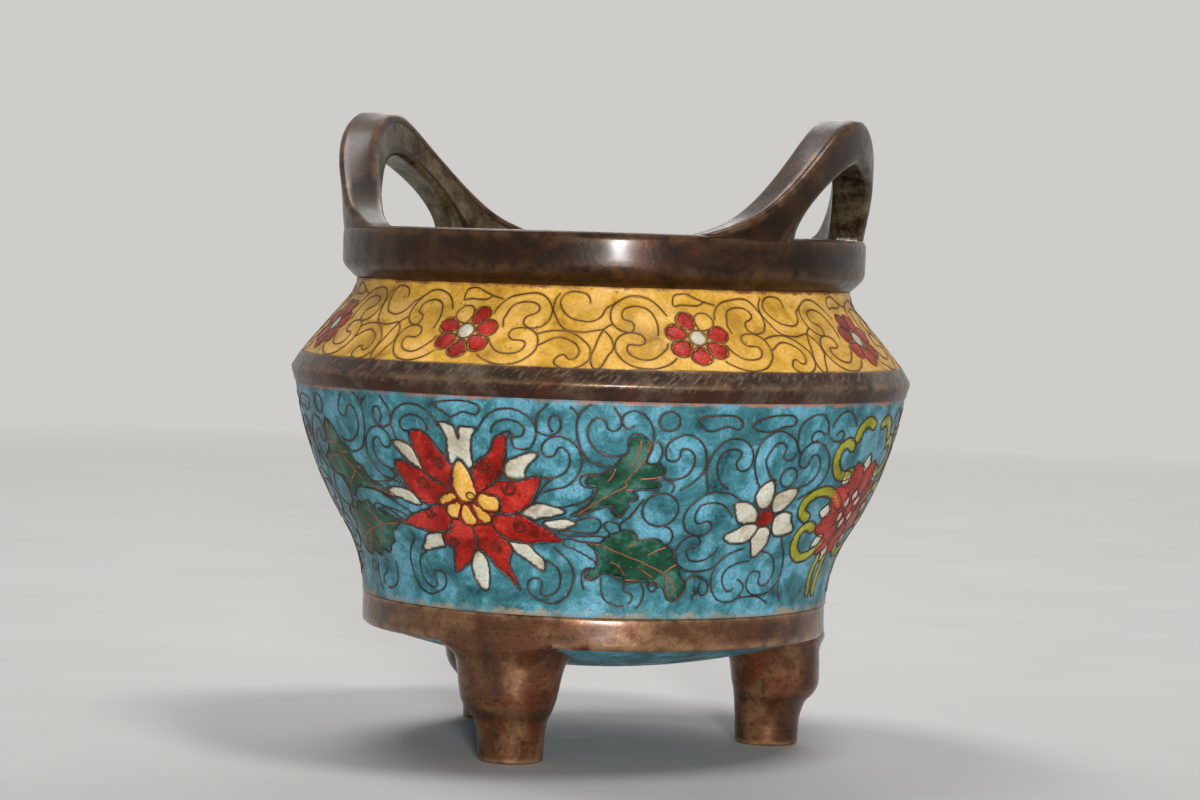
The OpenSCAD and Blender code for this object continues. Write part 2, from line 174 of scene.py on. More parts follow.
# What a material reads at a point where a piece says nothing else:
# far from wires and borders, in millimetres, with no wear and no painted highlight or shade
plain_values = {"edge": 9.0, "top_border": 99.0, "low_border": 99.0, "wear_and_painted_light": 0.0}


def make_piece(name, node, points, faces, material, values):
    """Adds one piece, given in millimetres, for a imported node. Only end caps stay flat."""
    mesh = bpy.data.meshes.new(name)
    mesh.from_pydata([p * MM for p in points], [], faces)
    for label, plain in plain_values.items():
        numbers = values.get(label, [plain] * len(points))
        mesh.attributes.new(label, "FLOAT", "POINT").data.foreach_set("value", numbers)
    mesh.polygons.foreach_set("use_smooth", [len(face) <= 4 for face in faces])
    mesh.materials.append(material)
    mesh.validate()
    piece = bpy.data.objects.new(name, mesh)
    bpy.context.scene.collection.objects.link(piece)
    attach(piece, "root")
    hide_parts(node)


corner_steps = 5


def rounded(corners):
    """Replaces each corner (r, z, rounding) of a closed outline by an arc."""
    outline = []
    for i, (r, z, rounding) in enumerate(corners):
        here = Vector((r, z))
        before = (Vector(corners[i - 1][:2]) - here).normalized()
        after = (Vector(corners[(i + 1) % len(corners)][:2]) - here).normalized()
        start, end = here + before * rounding, here + after * rounding
        for k in range(corner_steps + 1):
            u = k / corner_steps
            outline.append(start * (1 - u) ** 2 + here * 2 * u * (1 - u) + end * u ** 2)
    return outline


def divided(outline, step):
    """Splits the long runs of a closed outline."""
    result = []
    for i, here in enumerate(outline):
        ahead = outline[(i + 1) % len(outline)]
        parts = max(1, round((ahead - here).length / step))
        result += [here.lerp(ahead, k / parts) for k in range(parts)]
    return result


edge_wear_and_sheen_gain = 4


def edge_wear_and_sheen_of(outline):
    """How sharply an outline turns at each point: 1 on a worn edge, also painted as a highlight."""
    wear_and_painted_light = []
    for i, here in enumerate(outline):
        back = (here - outline[i - 1]).normalized()
        ahead = (outline[(i + 1) % len(outline)] - here).normalized()
        wear_and_painted_light.append(min(1.0, edge_wear_and_sheen_gain * abs(back.cross(ahead))))
    return wear_and_painted_light


def revolve(name, node, outline, segments, unevenness, material, darker_below_z=0):
    """A ring turned from a closed outline of (r, z), anticlockwise with r to the right and z up.

    What lies below the given level is marked with negative wear and so shown darker.
    """
    points, wear_and_painted_light = [], []
    for p, w in zip(outline, edge_wear_and_sheen_of(outline)):
        for j in range(segments):
            spot = turned(p.x, p.y, -2 * math.pi * j / segments)
            points.append(worked(spot, unevenness))
            wear_and_painted_light.append(w if p.y > darker_below_z else -1.0)
    faces = grid_faces(len(outline), segments, True)
    make_piece(name, node, points, faces, material, {"wear_and_painted_light": wear_and_painted_light})


# Materials

def colour(red, green, blue):
    """A colour written as on a screen, 0 to 255."""
    def linear(v):
        v /= 255
        return v / 12.92 if v <= 0.04045 else ((v + 0.055) / 1.055) ** 2.4
    return linear(red), linear(green), linear(blue), 1


class Nodes:
    """A node tree of a material or the world."""

    def __init__(self, tree):
        self.tree = tree

    def put(self, socket, value):
        if isinstance(value, bpy.types.NodeSocket):
            self.tree.links.new(value, socket)
        else:
            socket.default_value = value

    def node(self, kind, inputs=None, **settings):
        """A new node with its settings, and with its inputs by name or number."""
        made = self.tree.nodes.new(kind)
        for label, value in settings.items():
            setattr(made, label, value)
        for socket, value in (inputs or {}).items():
            self.put(made.inputs[socket], value)
        return made

    def maths(self, operation, a, b):
        return self.node("ShaderNodeMath", {0: a, 1: b}, operation=operation).outputs[0]


class Shader(Nodes):
    """A material. Sizes and depths are in millimetres of the object's own space."""

    def __init__(self, name):
        self.material = bpy.data.materials.new(name)
        self.material.use_nodes = True
        super().__init__(self.material.node_tree)
        self.surface = self.tree.nodes["Principled BSDF"]
        self.place = self.node("ShaderNodeTexCoord").outputs["Object"]

    def stretched(self, *scale):
        made = self.node("ShaderNodeMapping", {"Vector": self.place, "Scale": scale})
        return made.outputs["Vector"]

    def round_place(self, across, down, slant):
        """Coordinates along and across a turned face, stretched to long strokes."""
        axes = self.node("ShaderNodeSeparateXYZ", {0: self.place}).outputs
        angle = self.maths("ARCTAN2", axes["X"], axes["Y"])
        height = self.maths("MULTIPLY", axes["Z"], down)
        along = self.maths("MULTIPLY", angle, waist_r * MM * across)
        along = self.maths("ADD", along, self.maths("MULTIPLY", height, slant))
        return self.node("ShaderNodeCombineXYZ", {"X": along, "Y": height}).outputs[0]

    def noise(self, size, detail=3, roughness=0.55, place=None, turn=0.0):
        made = self.node("ShaderNodeTexNoise", {
            "Vector": place or self.place, "Scale": 1 / (size * MM), "Detail": detail,
            "Roughness": roughness, "Distortion": turn})
        return made.outputs["Fac"]

    def cells(self, size):
        made = self.node("ShaderNodeTexVoronoi", {"Vector": self.place, "Scale": 1 / (size * MM)})
        return made.outputs["Distance"]

    def fade(self, value, low, high, to_low=0.0, to_high=1.0):
        """Goes from to_low to to_high while a value goes from low to high."""
        made = self.node("ShaderNodeMapRange", {
            "Value": value, "From Min": low, "From Max": high, "To Min": to_low, "To Max": to_high})
        return made.outputs["Result"]

    def mix(self, share, a, b):
        made = self.node("ShaderNodeMix", {"Factor": share, 6: a, 7: b}, data_type="RGBA")
        return made.outputs[2]

    def ramp(self, value, *stops):
        made = self.node("ShaderNodeValToRGB", {"Fac": value})
        elements = made.color_ramp.elements
        while len(elements) < len(stops):
            elements.new(0.5)
        for element, (position, shade) in zip(elements, stops):
            element.position = position
            element.color = shade
        return made.outputs["Color"]

    def value_of(self, label):
        return self.node("ShaderNodeAttribute", attribute_name=label).outputs["Fac"]

    def bump(self, height, depth, strength, below=None):
        made = self.node("ShaderNodeBump", {
            "Height": height, "Distance": depth * MM, "Strength": strength})
        if below is not None:
            self.put(made.inputs["Normal"], below)
        return made.outputs["Normal"]

    def finish(self, base, roughness, normal, even):
        """Sets the surface's inputs; those in even are the same all over."""
        inputs = {"Base Color": base, "Roughness": roughness, "Normal": normal, **even}
        for label, value in inputs.items():
            self.put(self.surface.inputs[label], value)
        return self.material


def enamel_material(name, colours, mottle, borders=()):
    """Fired glass: cloudy, stained, pitted, scratched, darker along the wires, worn at the borders;
    the turquoise's pale low border is partly a painted highlight.

    The colours are deep, main, pale, stain and pit. A border is (colour, width, raggedness).
    """
    s = Shader(name)
    deep, main, pale, stain, pit = [colour(*c) for c in colours]
    base = s.ramp(s.noise(6, 7, 0.62, turn=0.4), (0.28, deep), (0.5, main), (0.68, pale))
    base = s.mix(s.fade(s.noise(6, 6, 0.7, turn=0.5), 0.5, 0.68, 0.0, mottle), base, stain)
    grain = s.fade(s.noise(0.5, 3, 0.65), 0.42, 0.74, 0.0, 0.45)
    base = s.mix(grain, base, deep)
    scratches = s.fade(s.noise(0.5, 3, 0.6, s.stretched(1, 1, 0.1)), 0.63, 0.72, 0.0, 0.35)
    base = s.mix(scratches, base, pale)
    pits = s.maths("MULTIPLY", s.fade(s.cells(1.3), 0.22, 0.1), s.fade(s.noise(5, 3), 0.54, 0.6))
    base = s.mix(pits, base, pit)
    base = s.mix(s.fade(s.value_of("edge"), 0.5, 0.18, 0.0, 0.7), base, deep)
    # Borders: worn colour; the turquoise's pale low border is partly a painted highlight
    for label, (shade, width, rag) in zip(("top_border", "low_border"), borders):
        ragged = s.fade(s.noise(2.6, 5, 0.7), 0.3, 0.7, -rag, rag)
        ragged = s.maths("ADD", s.value_of(label), ragged)
        patchy = s.fade(s.noise(9, 5, 0.65), 0.4, 0.58, 0.1, 0.95)
        worn_and_sheen = s.maths("MULTIPLY", s.fade(ragged, width, 0.4 * width), patchy)
        base = s.mix(worn_and_sheen, base, colour(*shade))
    surface = s.bump(s.noise(2.4, 3), 0.1, 0.5)
    surface = s.bump(s.maths("SUBTRACT", grain, pits), 0.1, 0.7, surface)
    rough = s.fade(s.noise(3.3, 4), 0.3, 0.75, 0.2, 0.5)
    return s.finish(base, rough, surface, {"Specular IOR Level": 0.13})


def bronze_material(name, colours, mottle, gloss=0.3, strokes=None):
    """Old bronze: brown skin in patches, red and dusty areas, rubbed edges, grime, scratches;
    partly painted light.

    The colours are deep, main, pale, rust, dust, worn and grime. Worn is partly a painted highlight
    on sharp edges and on the legs' crease, grime partly painted shade under that crease. Strokes
    are the file marks of a face, as their stretch across and down and their slant.
    """
    s = Shader(name)
    deep, main, pale, rust, dust, worn_and_sheen, grime_and_shade = [colour(*c) for c in colours]
    base = s.ramp(s.noise(9, 6, 0.6, turn=0.6), (0.28, deep), (0.5, main), (0.76, pale))
    base = s.mix(s.fade(s.noise(15, 7, 0.72), 0.49, 0.66, 0.0, mottle), base, rust)
    base = s.mix(s.fade(s.noise(9, 7, 0.78, turn=0.4), 0.53, 0.68, 0.0, mottle), base, dust)
    base = s.mix(s.fade(s.noise(0.9, 3, 0.7), 0.54, 0.66, 0.0, mottle), base, deep)
    wear_and_painted_light = s.value_of("wear_and_painted_light")
    # Where wear is negative: patina on the ears' inner faces, a darker lower face of the waist, and
    # painted shade under the legs' crease
    grimy = s.fade(s.noise(5, 7, 0.76), 0.4, 0.64, 0.0, 0.85)
    base = s.mix(s.maths("MULTIPLY", s.fade(wear_and_painted_light, 0, -1), grimy), base, grime_and_shade)
    # Rubbed edges: real wear, and a painted highlight on sharp edges and on the legs' crease
    rubbed = s.fade(s.noise(3, 4), 0.35, 0.62, 0.0, 0.7)
    base = s.mix(s.maths("MULTIPLY", s.fade(wear_and_painted_light, 0, 1), rubbed), base, worn_and_sheen)
    lines = s.noise(0.55, 3, 0.6, s.round_place(*(strokes or (0.12, 1.0, 0.0))))
    stroke = s.fade(lines, 0.52, 0.72, 0.0, 0.8 if strokes else 0.1)
    base = s.mix(s.maths("MULTIPLY", stroke, s.fade(wear_and_painted_light, -1, 0, 0.12, 1)), base, pale)
    rough = s.fade(s.noise(2.6, 5, 0.65), 0.3, 0.72, 0.28, 0.5)
    surface = s.bump(s.noise(3.4, 4, 0.6), 0.25, 0.4)
    surface = s.bump(s.noise(0.8, 3, 0.7), 0.08, 0.5, surface)
    surface = s.bump(lines, 0.12 if strokes else 0.015, 0.8, surface)
    return s.finish(base, rough, surface, {
        "Metallic": 0.4, "Specular IOR Level": 0.1, "Coat Weight": gloss, "Coat Roughness": 0.19})


def wire_material(name, *colours):
    """Wire of the cells, in deep, main and pale: tarnished, here and there rubbed bright."""
    s = Shader(name)
    deep, main, pale = [colour(*c) for c in colours]
    tone = s.ramp(s.noise(4, 5, 0.68), (0.36, deep), (0.56, main), (0.74, pale))
    rubbed = s.maths("MULTIPLY", s.value_of("wear_and_painted_light"), s.fade(s.noise(2, 3), 0.3, 0.5))
    tone = s.mix(rubbed, tone, colour(156, 88, 56))
    rough = s.fade(s.noise(1.5, 3), 0.3, 0.7, 0.35, 0.6)
    return s.finish(tone, rough, s.bump(s.noise(0.5, 2), 0.05, 0.6), {"Metallic": 0.5})


def inside_material():
    """Inside of the bowl: dark copper with soot, ash and green spots."""
    s = Shader("aged_copper")
    base = s.ramp(s.noise(12, 6, 0.65, turn=0.7), (0.3, colour(46, 36, 28)),
                  (0.5, colour(84, 60, 42)), (0.7, colour(118, 84, 56)))
    base = s.mix(s.fade(s.noise(7, 5, 0.7), 0.56, 0.7, 0.0, 0.7), base, colour(84, 104, 84))
    base = s.mix(s.fade(s.noise(1.2, 3), 0.55, 0.7, 0.0, 0.6), base, colour(40, 32, 26))
    rough = s.fade(s.noise(4, 4), 0.3, 0.7, 0.42, 0.7)
    return s.finish(base, rough, s.bump(s.noise(1.6, 4, 0.65), 0.2, 0.7), {"Metallic": 0.6})


# Each enamel has the name of its slot
enamels = {name: enamel_material(name, *row) for name, row in {
    "yellow_enamel": (
        ((148, 104, 24), (213, 164, 64), (255, 206, 120), (192, 138, 58), (186, 92, 48)), 0.5,
        (((112, 62, 44), 0.7, 0.35), ((96, 66, 40), 0.3, 0.1))),
    # Its pale low border is partly real wear and partly a painted highlight on the hollow toe
    "turquoise_enamel": (
        ((18, 50, 54), (66, 125, 135), (130, 203, 238), (68, 104, 90), (124, 92, 66)), 0.6,
        (((166, 112, 88), 0.7, 0.5), ((150, 138, 116), 1.3, 1.1))),
    "red_enamel": (((60, 9, 6), (160, 33, 23), (238, 76, 62), (118, 18, 13), (84, 22, 16)), 0.6),
    "white_enamel": (
        ((122, 112, 80), (195, 188, 170), (238, 231, 216), (142, 172, 162), (150, 112, 70)), 0.7),
    "green_enamel": (((8, 40, 26), (32, 76, 56), (86, 136, 122), (52, 92, 82), (120, 84, 54)), 0.6),
    "lime_enamel": (
        ((84, 88, 10), (150, 146, 24), (190, 184, 66), (112, 122, 44), (84, 64, 28)), 0.5),
}.items()}
BRONZE = bronze_material("bronze", (
    (14, 7, 2), (36, 19, 7), (66, 42, 23), (76, 33, 14), (66, 57, 33), (100, 71, 45),
    (112, 102, 76)), 0.5)
# Lighter and redder than the rim's bronze: partly the legs' own tone, partly painted light against
# the shade under the belly
LEG_BRONZE_PAINTED_LIGHT = bronze_material("leg_bronze_painted_light", (
    (34, 18, 8), (88, 54, 30), (150, 112, 80), (100, 46, 25), (96, 80, 50), (156, 120, 88),
    (40, 22, 11)), 0.65, 0.55)
FILED = bronze_material("filed_bronze", (
    (22, 15, 10), (56, 40, 28), (122, 106, 90), (84, 40, 22), (64, 50, 33), (134, 102, 72),
    (58, 24, 10)), 0.5, strokes=(0.5, 0.35, 1.3))
WIRE = wire_material("cloison_wire", (44, 28, 20), (80, 50, 36), (128, 82, 56))
PALE_WIRE = wire_material("rubbed_cloison_wire", (62, 44, 24), (96, 68, 36), (140, 104, 60))
INSIDE = inside_material()

# Metal rings and walls

metal_unevenness = 0.22
waist_unevenness = 0.16
wall_unevenness = 0.1
ring_segments = 256
waist_segments = 320
wall_segments = 192
rim_step = 1.2
waist_step = 0.7
base_step = 0.9
wall_steps = 40
waist_proud = 0.12
# The waist ring is darker below this depth under its tip
waist_darker_below = 0.7


def make_rings():
    rim = rounded([(mouth_r, rim_low_z, 0.2), (neck_top_r, rim_low_z, 0.5),
                   (rim_r, rim_low_z + rim_chamfer, 1.3), (rim_r, rim_top_z - rim_bevel, 0.7),
                   (rim_r - rim_bevel, rim_top_z, 0.7), (mouth_r, rim_top_z, 0.9)])
    revolve("rim", "rim_collar", divided(rim, rim_step), ring_segments, metal_unevenness,
            BRONZE)
    waist = rounded([(*belly_point(0, skin), 0.1), (*belly_point(0, -waist_proud), 0.25),
                     (waist_r - waist_proud, waist_z, 0.5),
                     (*neck_point(neck_len, -waist_proud), 0.25),
                     (*neck_point(neck_len, skin), 0.1)])
    revolve("waist", "waist_ring", divided(waist, waist_step), waist_segments, waist_unevenness,
            FILED, waist_z - waist_darker_below)
    base = rounded([(wall_foot_r, base_low_z, 0.2), (base_face_r, base_low_z, base_edge),
                    (base_face_r, base_top_z, 0.7), (wall_foot_r, base_top_z, 0.2)])
    revolve("base", "base_ring", divided(base, base_step), ring_segments, metal_unevenness,
            LEG_BRONZE_PAINTED_LIGHT)


def even_steps(length):
    return [length * i / wall_steps for i in range(wall_steps + 1)]


def make_wall(name, node, outline, material):
    outline = [Vector(p) for p in outline]
    revolve(name, node, outline, wall_segments, wall_unevenness, material)


def make_walls():
    """The copper bowl under the enamel, and the enamel of its bottom."""
    ways = even_steps(neck_len)
    outer = [neck_point(t, enamel_depth) for t in reversed(ways)]
    inner = [neck_point(t, skin) for t in ways]
    make_wall("neck_copper", "neck_wall", outer + inner, INSIDE)
    ways = even_steps(belly_len)
    rings = even_steps(wall_foot_r)[1:]
    inner_r = wall_foot_r - copper_wall
    outer = [belly_point(t, enamel_depth) for t in ways] + [(wall_foot_r, base_top_z)]
    outer += [bottom_point(r, enamel_depth) for r in reversed(rings)]
    inner = [bottom_point(r * inner_r / wall_foot_r, skin) for r in rings] + [(inner_r, base_top_z)]
    inner += [belly_point(t, skin) for t in reversed(ways) if t < belly_len - skin]
    make_wall("belly_copper", "belly_wall", reversed(outer + inner), INSIDE)
    under = [bottom_point(r, 0) for r in rings]
    over = [bottom_point(r, enamel_depth) for r in reversed(rings)]
    enamel = "turquoise_enamel"
    make_wall("bottom_glaze", "bottom_enamel", under + over, enamels[enamel])


# Ears: an arch over an arched gap, along the rim and up from it
ear_rise = ear_top_z - rim_top_z
ear_half_span = 40
ear_foot_end = 38.5
ear_gap_half = 20
ear_gap = 14.1
ear_gap_curve = 1.62
ear_bulge = 0.9
ear_crown = 0.05
ear_lean_from = 0.4
ear_taper_from = 27
ear_tip_run = 4.5
ear_tip_drop = 0.3
ear_sink = 2.4
ear_sunk_inset = 0.3
ear_headroom = 0.15
ear_corner = 0.36
ear_corner_steps = 5
ear_section_step = 0.16
ear_rings = 96
ear_gap_face = -0.7
ear_inner_face = -0.75
ear_sharp = 0.2


def ear_section():
    """A square with rounded corners, as shares from the gap to the top and from in to out."""
    outline = []
    for cx, cy, start in ((1, 1, 0), (-1, 1, 90), (-1, -1, 180), (1, -1, 270)):
        for k in range(ear_corner_steps + 1):
            a = math.radians(start + 90 * k / ear_corner_steps)
            outline.append(Vector((cx * (1 - ear_corner) + ear_corner * math.cos(a),
                                   cy * (1 - ear_corner) + ear_corner * math.sin(a))))
    return divided(outline, ear_section_step)


def ear_ring(u, section, lean, spread):
    """One section of an ear, at u from -1 to 1 along it, as (radius, sine of the angle, level)."""
    lift = math.radians(90 * (1 - abs(u)))
    side = -1 if u < 0 else 1
    power = 2 / ear_gap_curve
    gap = Vector((ear_gap_half * math.cos(lift) ** power,
                  rim_top_z + ear_gap * math.sin(lift) ** power))
    s = ear_foot_end * (1 - lift / math.radians(90))
    rise = ear_rise * math.cos(math.radians(90) * s / ear_half_span) ** 2
    top = Vector((s * spread, rim_top_z + rise))
    ring = []
    for share, out in section:
        crown = ear_crown * (1 - out * out) * max(0.0, share)
        p = gap.lerp(top, (share + crown + 1) / 2)
        up = min(1, max(0, p.y - rim_top_z) / ear_gap)
        bulge = ear_bulge * math.sin(math.radians(90) * up)
        r = (rim_r + mouth_r) / 2 + out * (rim_r - mouth_r) / 2 + max(0, out) * bulge
        r += lean * smooth_step((p.y - rim_top_z) / ear_gap - ear_lean_from)
        end = smooth_step((p.x - ear_taper_from) / (ear_foot_end - ear_taper_from))
        r -= end * out * rim_bevel
        p.y -= ear_tip_drop * smooth_step((p.x - ear_foot_end) / ear_tip_run + 1)
        if abs(u) == 1:
            p.y = rim_top_z - ear_sink
            r -= ear_sunk_inset * out
        ring.append((r, side * max(p.x, 0) / rim_r, p.y))
    return ring


def make_ear(name, node, turn, lean, spread):
    """An arch on the rim; hand work left one ear leaning out and a little wider."""
    section = ear_section()
    points = []
    for i in range(ear_rings + 1):
        for r, sine, z in ear_ring(2 * i / ear_rings - 1, section, lean, spread):
            a = math.asin(max(-1, min(1, sine))) + turn
            z = min(z, ear_top_z - ear_headroom)
            points.append(worked(Vector((r * math.cos(a), r * math.sin(a), z)), metal_unevenness))
    count = len(section)
    faces = [tuple(reversed(f)) for f in grid_faces(ear_rings + 1, count, False)]
    faces.append(tuple(range(count)))
    faces.append(tuple(reversed(range(ear_rings * count, (ear_rings + 1) * count))))
    wear_and_painted_light = []
    for (share, out), w in zip(section, edge_wear_and_sheen_of(section)):
        grimy = share < ear_gap_face or (w <= ear_sharp and out <= ear_inner_face)
        wear_and_painted_light.append(-1 if grimy else w)
    make_piece(name, node, points, faces, BRONZE, {"wear_and_painted_light": wear_and_painted_light * (ear_rings + 1)})


# Feet: rings from the ground to the crease as (level, growth in width and in depth, shift out),
# then up to the seat with a share of the way, and a skirt as (rise, growth, reach past the ring)
foot_r = 6.2
foot_ring_r = 34.6
foot_turn = math.radians(-3)
foot_crease_z = 10.9
foot_low_rings = [
    (0, -0.6, -0.6, 0), (0.25, -0.25, -0.22, 0), (0.9, -0.15, -0.1, 0), (3.4, -0.05, 0, 0),
    (5.4, 0.15, 0.1, 0.05), (6.6, 0.35, 0.3, 0.15), (7.6, 0.65, 0.5, 0.3), (8.6, 1.2, 0.8, 0.5),
    (9.7, 1.9, 1.45, 1), (foot_crease_z, 2.5, 2, 1.4)]
foot_cup_rings = [
    (0.1, 2.85, 2.4, 1.55), (0.2, 3.05, 2.55, 1.58), (0.3, 3.3, 2.6, 1.55), (0.46, 3.6, 2.7, 1.5),
    (0.73, 4.3, 3, 1.4), (0.9, 5.4, 4.6, 1.9), (1, 7.2, 7.2, 2.4)]
skirt_rings = [(0.8, 9.0, -0.02), (1.9, 10.2, -0.1), (3.2, 10.8, -0.35)]
foot_top_shares = (1, 0.7, 0.4, 0.1)
foot_top_r = wall_foot_r - 0.8
foot_reach = base_r + 0.12
foot_swell = 0.8
foot_blend = 3.2
foot_sides = 72
even_below_z = 0.3
skirt_inner_share = 0.15
skirt_from = 10.5
skirt_run = 5
skirt_fade = 2.5
skirt_sink = 0.15
# Painted highlight along the legs' crease
crease_highlight, crease_highlight_half = 0.3, 1.2
ground_wear_z, ground_wear_half = 0.5, 0.6
# Painted shade just below the legs' crease
crease_shade_below, crease_shade_half = 2, 1.8


def curve_through(rows, steps):
    """A smooth curve through rows of numbers."""
    curve = []
    for i in range(len(rows) - 1):
        p = [Vector(rows[min(max(i + k, 0), len(rows) - 1)]) for k in (-1, 0, 1, 2)]
        for j in range(steps):
            u = j / steps
            curve.append(0.5 * (2 * p[1] + (p[2] - p[0]) * u
                                + (2 * p[0] - 5 * p[1] + 4 * p[2] - p[3]) * u * u
                                + (3 * p[1] - p[0] - 3 * p[2] + p[3]) * u ** 3))
    return curve + [Vector(rows[-1])]


def foot_seat_z(r):
    return bottom_point(r, enamel_depth)[1] if r < wall_foot_r else base_low_z


def foot_spot(wide, deep, shift, a, reach):
    """A place on an oval ring of the front foot, held softly within a reach from the axis."""
    x, y = wide * math.sin(a), foot_ring_r + shift + deep * math.cos(a)
    out = math.hypot(x, y)
    near = max(0, 1 - abs(out - reach) / foot_blend)
    fit = (min(out, reach) - near * near * foot_blend / 4) / out
    return x * fit, -y * fit


def ring_face(z):
    """Radius of the base ring's face and of its rounded lower edge."""
    rise = min(max(z - base_low_z, 0), base_edge)
    return base_face_r - base_edge + math.sqrt(base_edge ** 2 - (base_edge - rise) ** 2)


def foot_rows():
    """Rings of a foot: level or rise, share up to the seat, half width and depth, shift, reach."""
    rows = [(max(0, q[0]), None, foot_r + q[1], foot_r + q[2], q[3], foot_reach + foot_swell)
            for q in curve_through(foot_low_rings, 4)]
    for q in curve_through([(0, *foot_low_rings[-1][1:])] + foot_cup_rings, 5)[1:]:
        swell = foot_swell * (1 - q[0] ** 2)
        rows.append((0, q[0], foot_r + q[1], foot_r + q[2], q[3], foot_reach + swell))
    shift = foot_cup_rings[-1][3]
    for rise, growth, out in skirt_rings:
        rows.append((rise, 1, foot_r + growth, foot_r + growth, shift, base_r + out))
    top = rows[-1][2]
    rows += [(0, 1, part * top, part * top, shift, foot_top_r) for part in foot_top_shares]
    return rows


def foot_rubbing_and_light(z):
    """Rubbed at the ground; a painted highlight along the crease and painted shade just below it.
    """
    rubbed = crease_highlight * smooth_step(1 - abs(z - foot_crease_z) / crease_highlight_half)
    rubbed += smooth_step(1 - abs(z - ground_wear_z) / ground_wear_half)
    return rubbed - smooth_step(1 - abs(z - foot_crease_z + crease_shade_below) / crease_shade_half)


def make_foot(name, node, turn):
    """A waisted leg that swells into a cup, with a skirt that runs out on the base ring's face."""
    points, wear_and_painted_light = [], []
    for height, share, wide, deep, shift, reach in foot_rows():
        for j in range(foot_sides):
            x, y = foot_spot(wide, deep, shift, 2 * math.pi * j / foot_sides, reach)
            out = math.hypot(x, y)
            z = height
            if share is not None:
                z = foot_crease_z + share * (foot_seat_z(out) - foot_crease_z)
                outer = smooth_step((out - wall_foot_r) / (base_r - wall_foot_r))
                z += height * (skirt_inner_share + (1 - skirt_inner_share) * outer)
            sunk = smooth_step((abs(x) - skirt_from) / skirt_run)
            sunk *= smooth_step((z - base_low_z) / skirt_fade + 1)
            fit = 1 - sunk * max(0, out - ring_face(z) + skirt_sink) / out
            spot = Matrix.Rotation(turn, 3, "Z") @ Vector((x * fit, y * fit, z))
            points.append(worked(spot, metal_unevenness) if z > even_below_z else spot)
            # Real rubbing at the ground, a painted highlight on the crease and painted shade below
            # it
            wear_and_painted_light.append(foot_rubbing_and_light(z))
    rows = len(points) // foot_sides
    faces = grid_faces(rows, foot_sides, False)
    faces.append(tuple(range(foot_sides)))
    faces.append(tuple(reversed(range((rows - 1) * foot_sides, rows * foot_sides))))
    make_piece(name, node, points, faces, LEG_BRONZE_PAINTED_LIGHT, {"wear_and_painted_light": wear_and_painted_light})


# Flat pattern: lines and outlines as (across, down) in millimetres

spiral_steps = 30
petal_sides = 10
cap_steps = 6
front_shift = 1.4
front_shift_reach = 25


def points_of(text):
    """Lines of flat points, written as across,down in tenths of a millimetre and parted by ;"""
    return [[tuple(int(n) / 10 for n in pair.split(",")) for pair in line.split()]
            for line in text.split(";")]


def spiral(across, down, start_r, end_r, start, sweep):
    line = []
    for i in range(spiral_steps + 1):
        u = i / spiral_steps
        a = math.radians(start + sweep * u)
        r = start_r + (end_r - start_r) * u
        line.append(Vector((across + r * math.cos(a), down + r * math.sin(a))))
    return line


def circle(across, down, r):
    return spiral(across, down, r, r, 0, 360)


def outlined(points, steps=5):
    """A smooth closed outline; a point given twice is a sharp tip."""
    count = len(points)
    line = []
    for i in range(count):
        stretch = [points[(i + k) % count] for k in (-1, 0, 1, 2)]
        if stretch[1] != stretch[2]:
            line += curve_through(stretch, steps)[steps:2 * steps]
    return line


def petal(at, angle, start, length, width, fullness, tip=0.8):
    """A petal that grows from near a flower's centre. Angle 90 is down."""
    turn = Matrix.Rotation(math.radians(angle), 2)
    edge = []
    for i in range(2 * petal_sides):
        u = (i if i < petal_sides else 2 * petal_sides - i) / petal_sides
        half = width / 2 * max(0, math.sin(math.pi * u ** fullness)) ** tip
        side = -half if i < petal_sides else half
        edge.append(Vector(at) + turn @ Vector((start + length * u, side)))
    return edge


def strip(points, width):
    """The outline of a strip along a smooth line, with round ends."""
    line = curve_through(points, 6)
    last = len(line) - 1
    sides = []
    for i in range(len(line)):
        way = (line[min(i + 1, last)] - line[max(i - 1, 0)]).normalized()
        sides.append(Vector((-way.y, way.x)) * width / 2)
    edge = [p + side for p, side in zip(line, sides)]
    for k in range(1, cap_steps):
        edge.append(line[last] + Matrix.Rotation(-math.pi * k / cap_steps, 2) @ sides[last])
    edge += [p - side for p, side in zip(reversed(line), reversed(sides))]
    for k in range(1, cap_steps):
        edge.append(line[0] + Matrix.Rotation(math.pi - math.pi * k / cap_steps, 2) @ sides[0])
    return edge


def with_mirrored(lines):
    return lines + [[Vector((-p.x, p.y)) for p in line] for line in lines]


def shifted(lines, across):
    return [[Vector((p.x + across, p.y)) for p in line] for line in lines]


def on_front_and_back(lines):
    return lines + shifted(lines, 2 * quarter)


def both_sides(lines):
    return on_front_and_back(with_mirrored(lines))


def round_neck(lines):
    """Eight repeats round the neck; the front one was set a little aside by hand."""
    result = []
    for k in (0, 1, 2, 3, 4, -3, -2, -1):
        for line in shifted(lines, neck_repeat * k):
            aside = [front_shift * math.exp(-(p.x / front_shift_reach) ** 2) for p in line]
            result.append([Vector((p.x - d, p.y)) for p, d in zip(line, aside)])
    return result


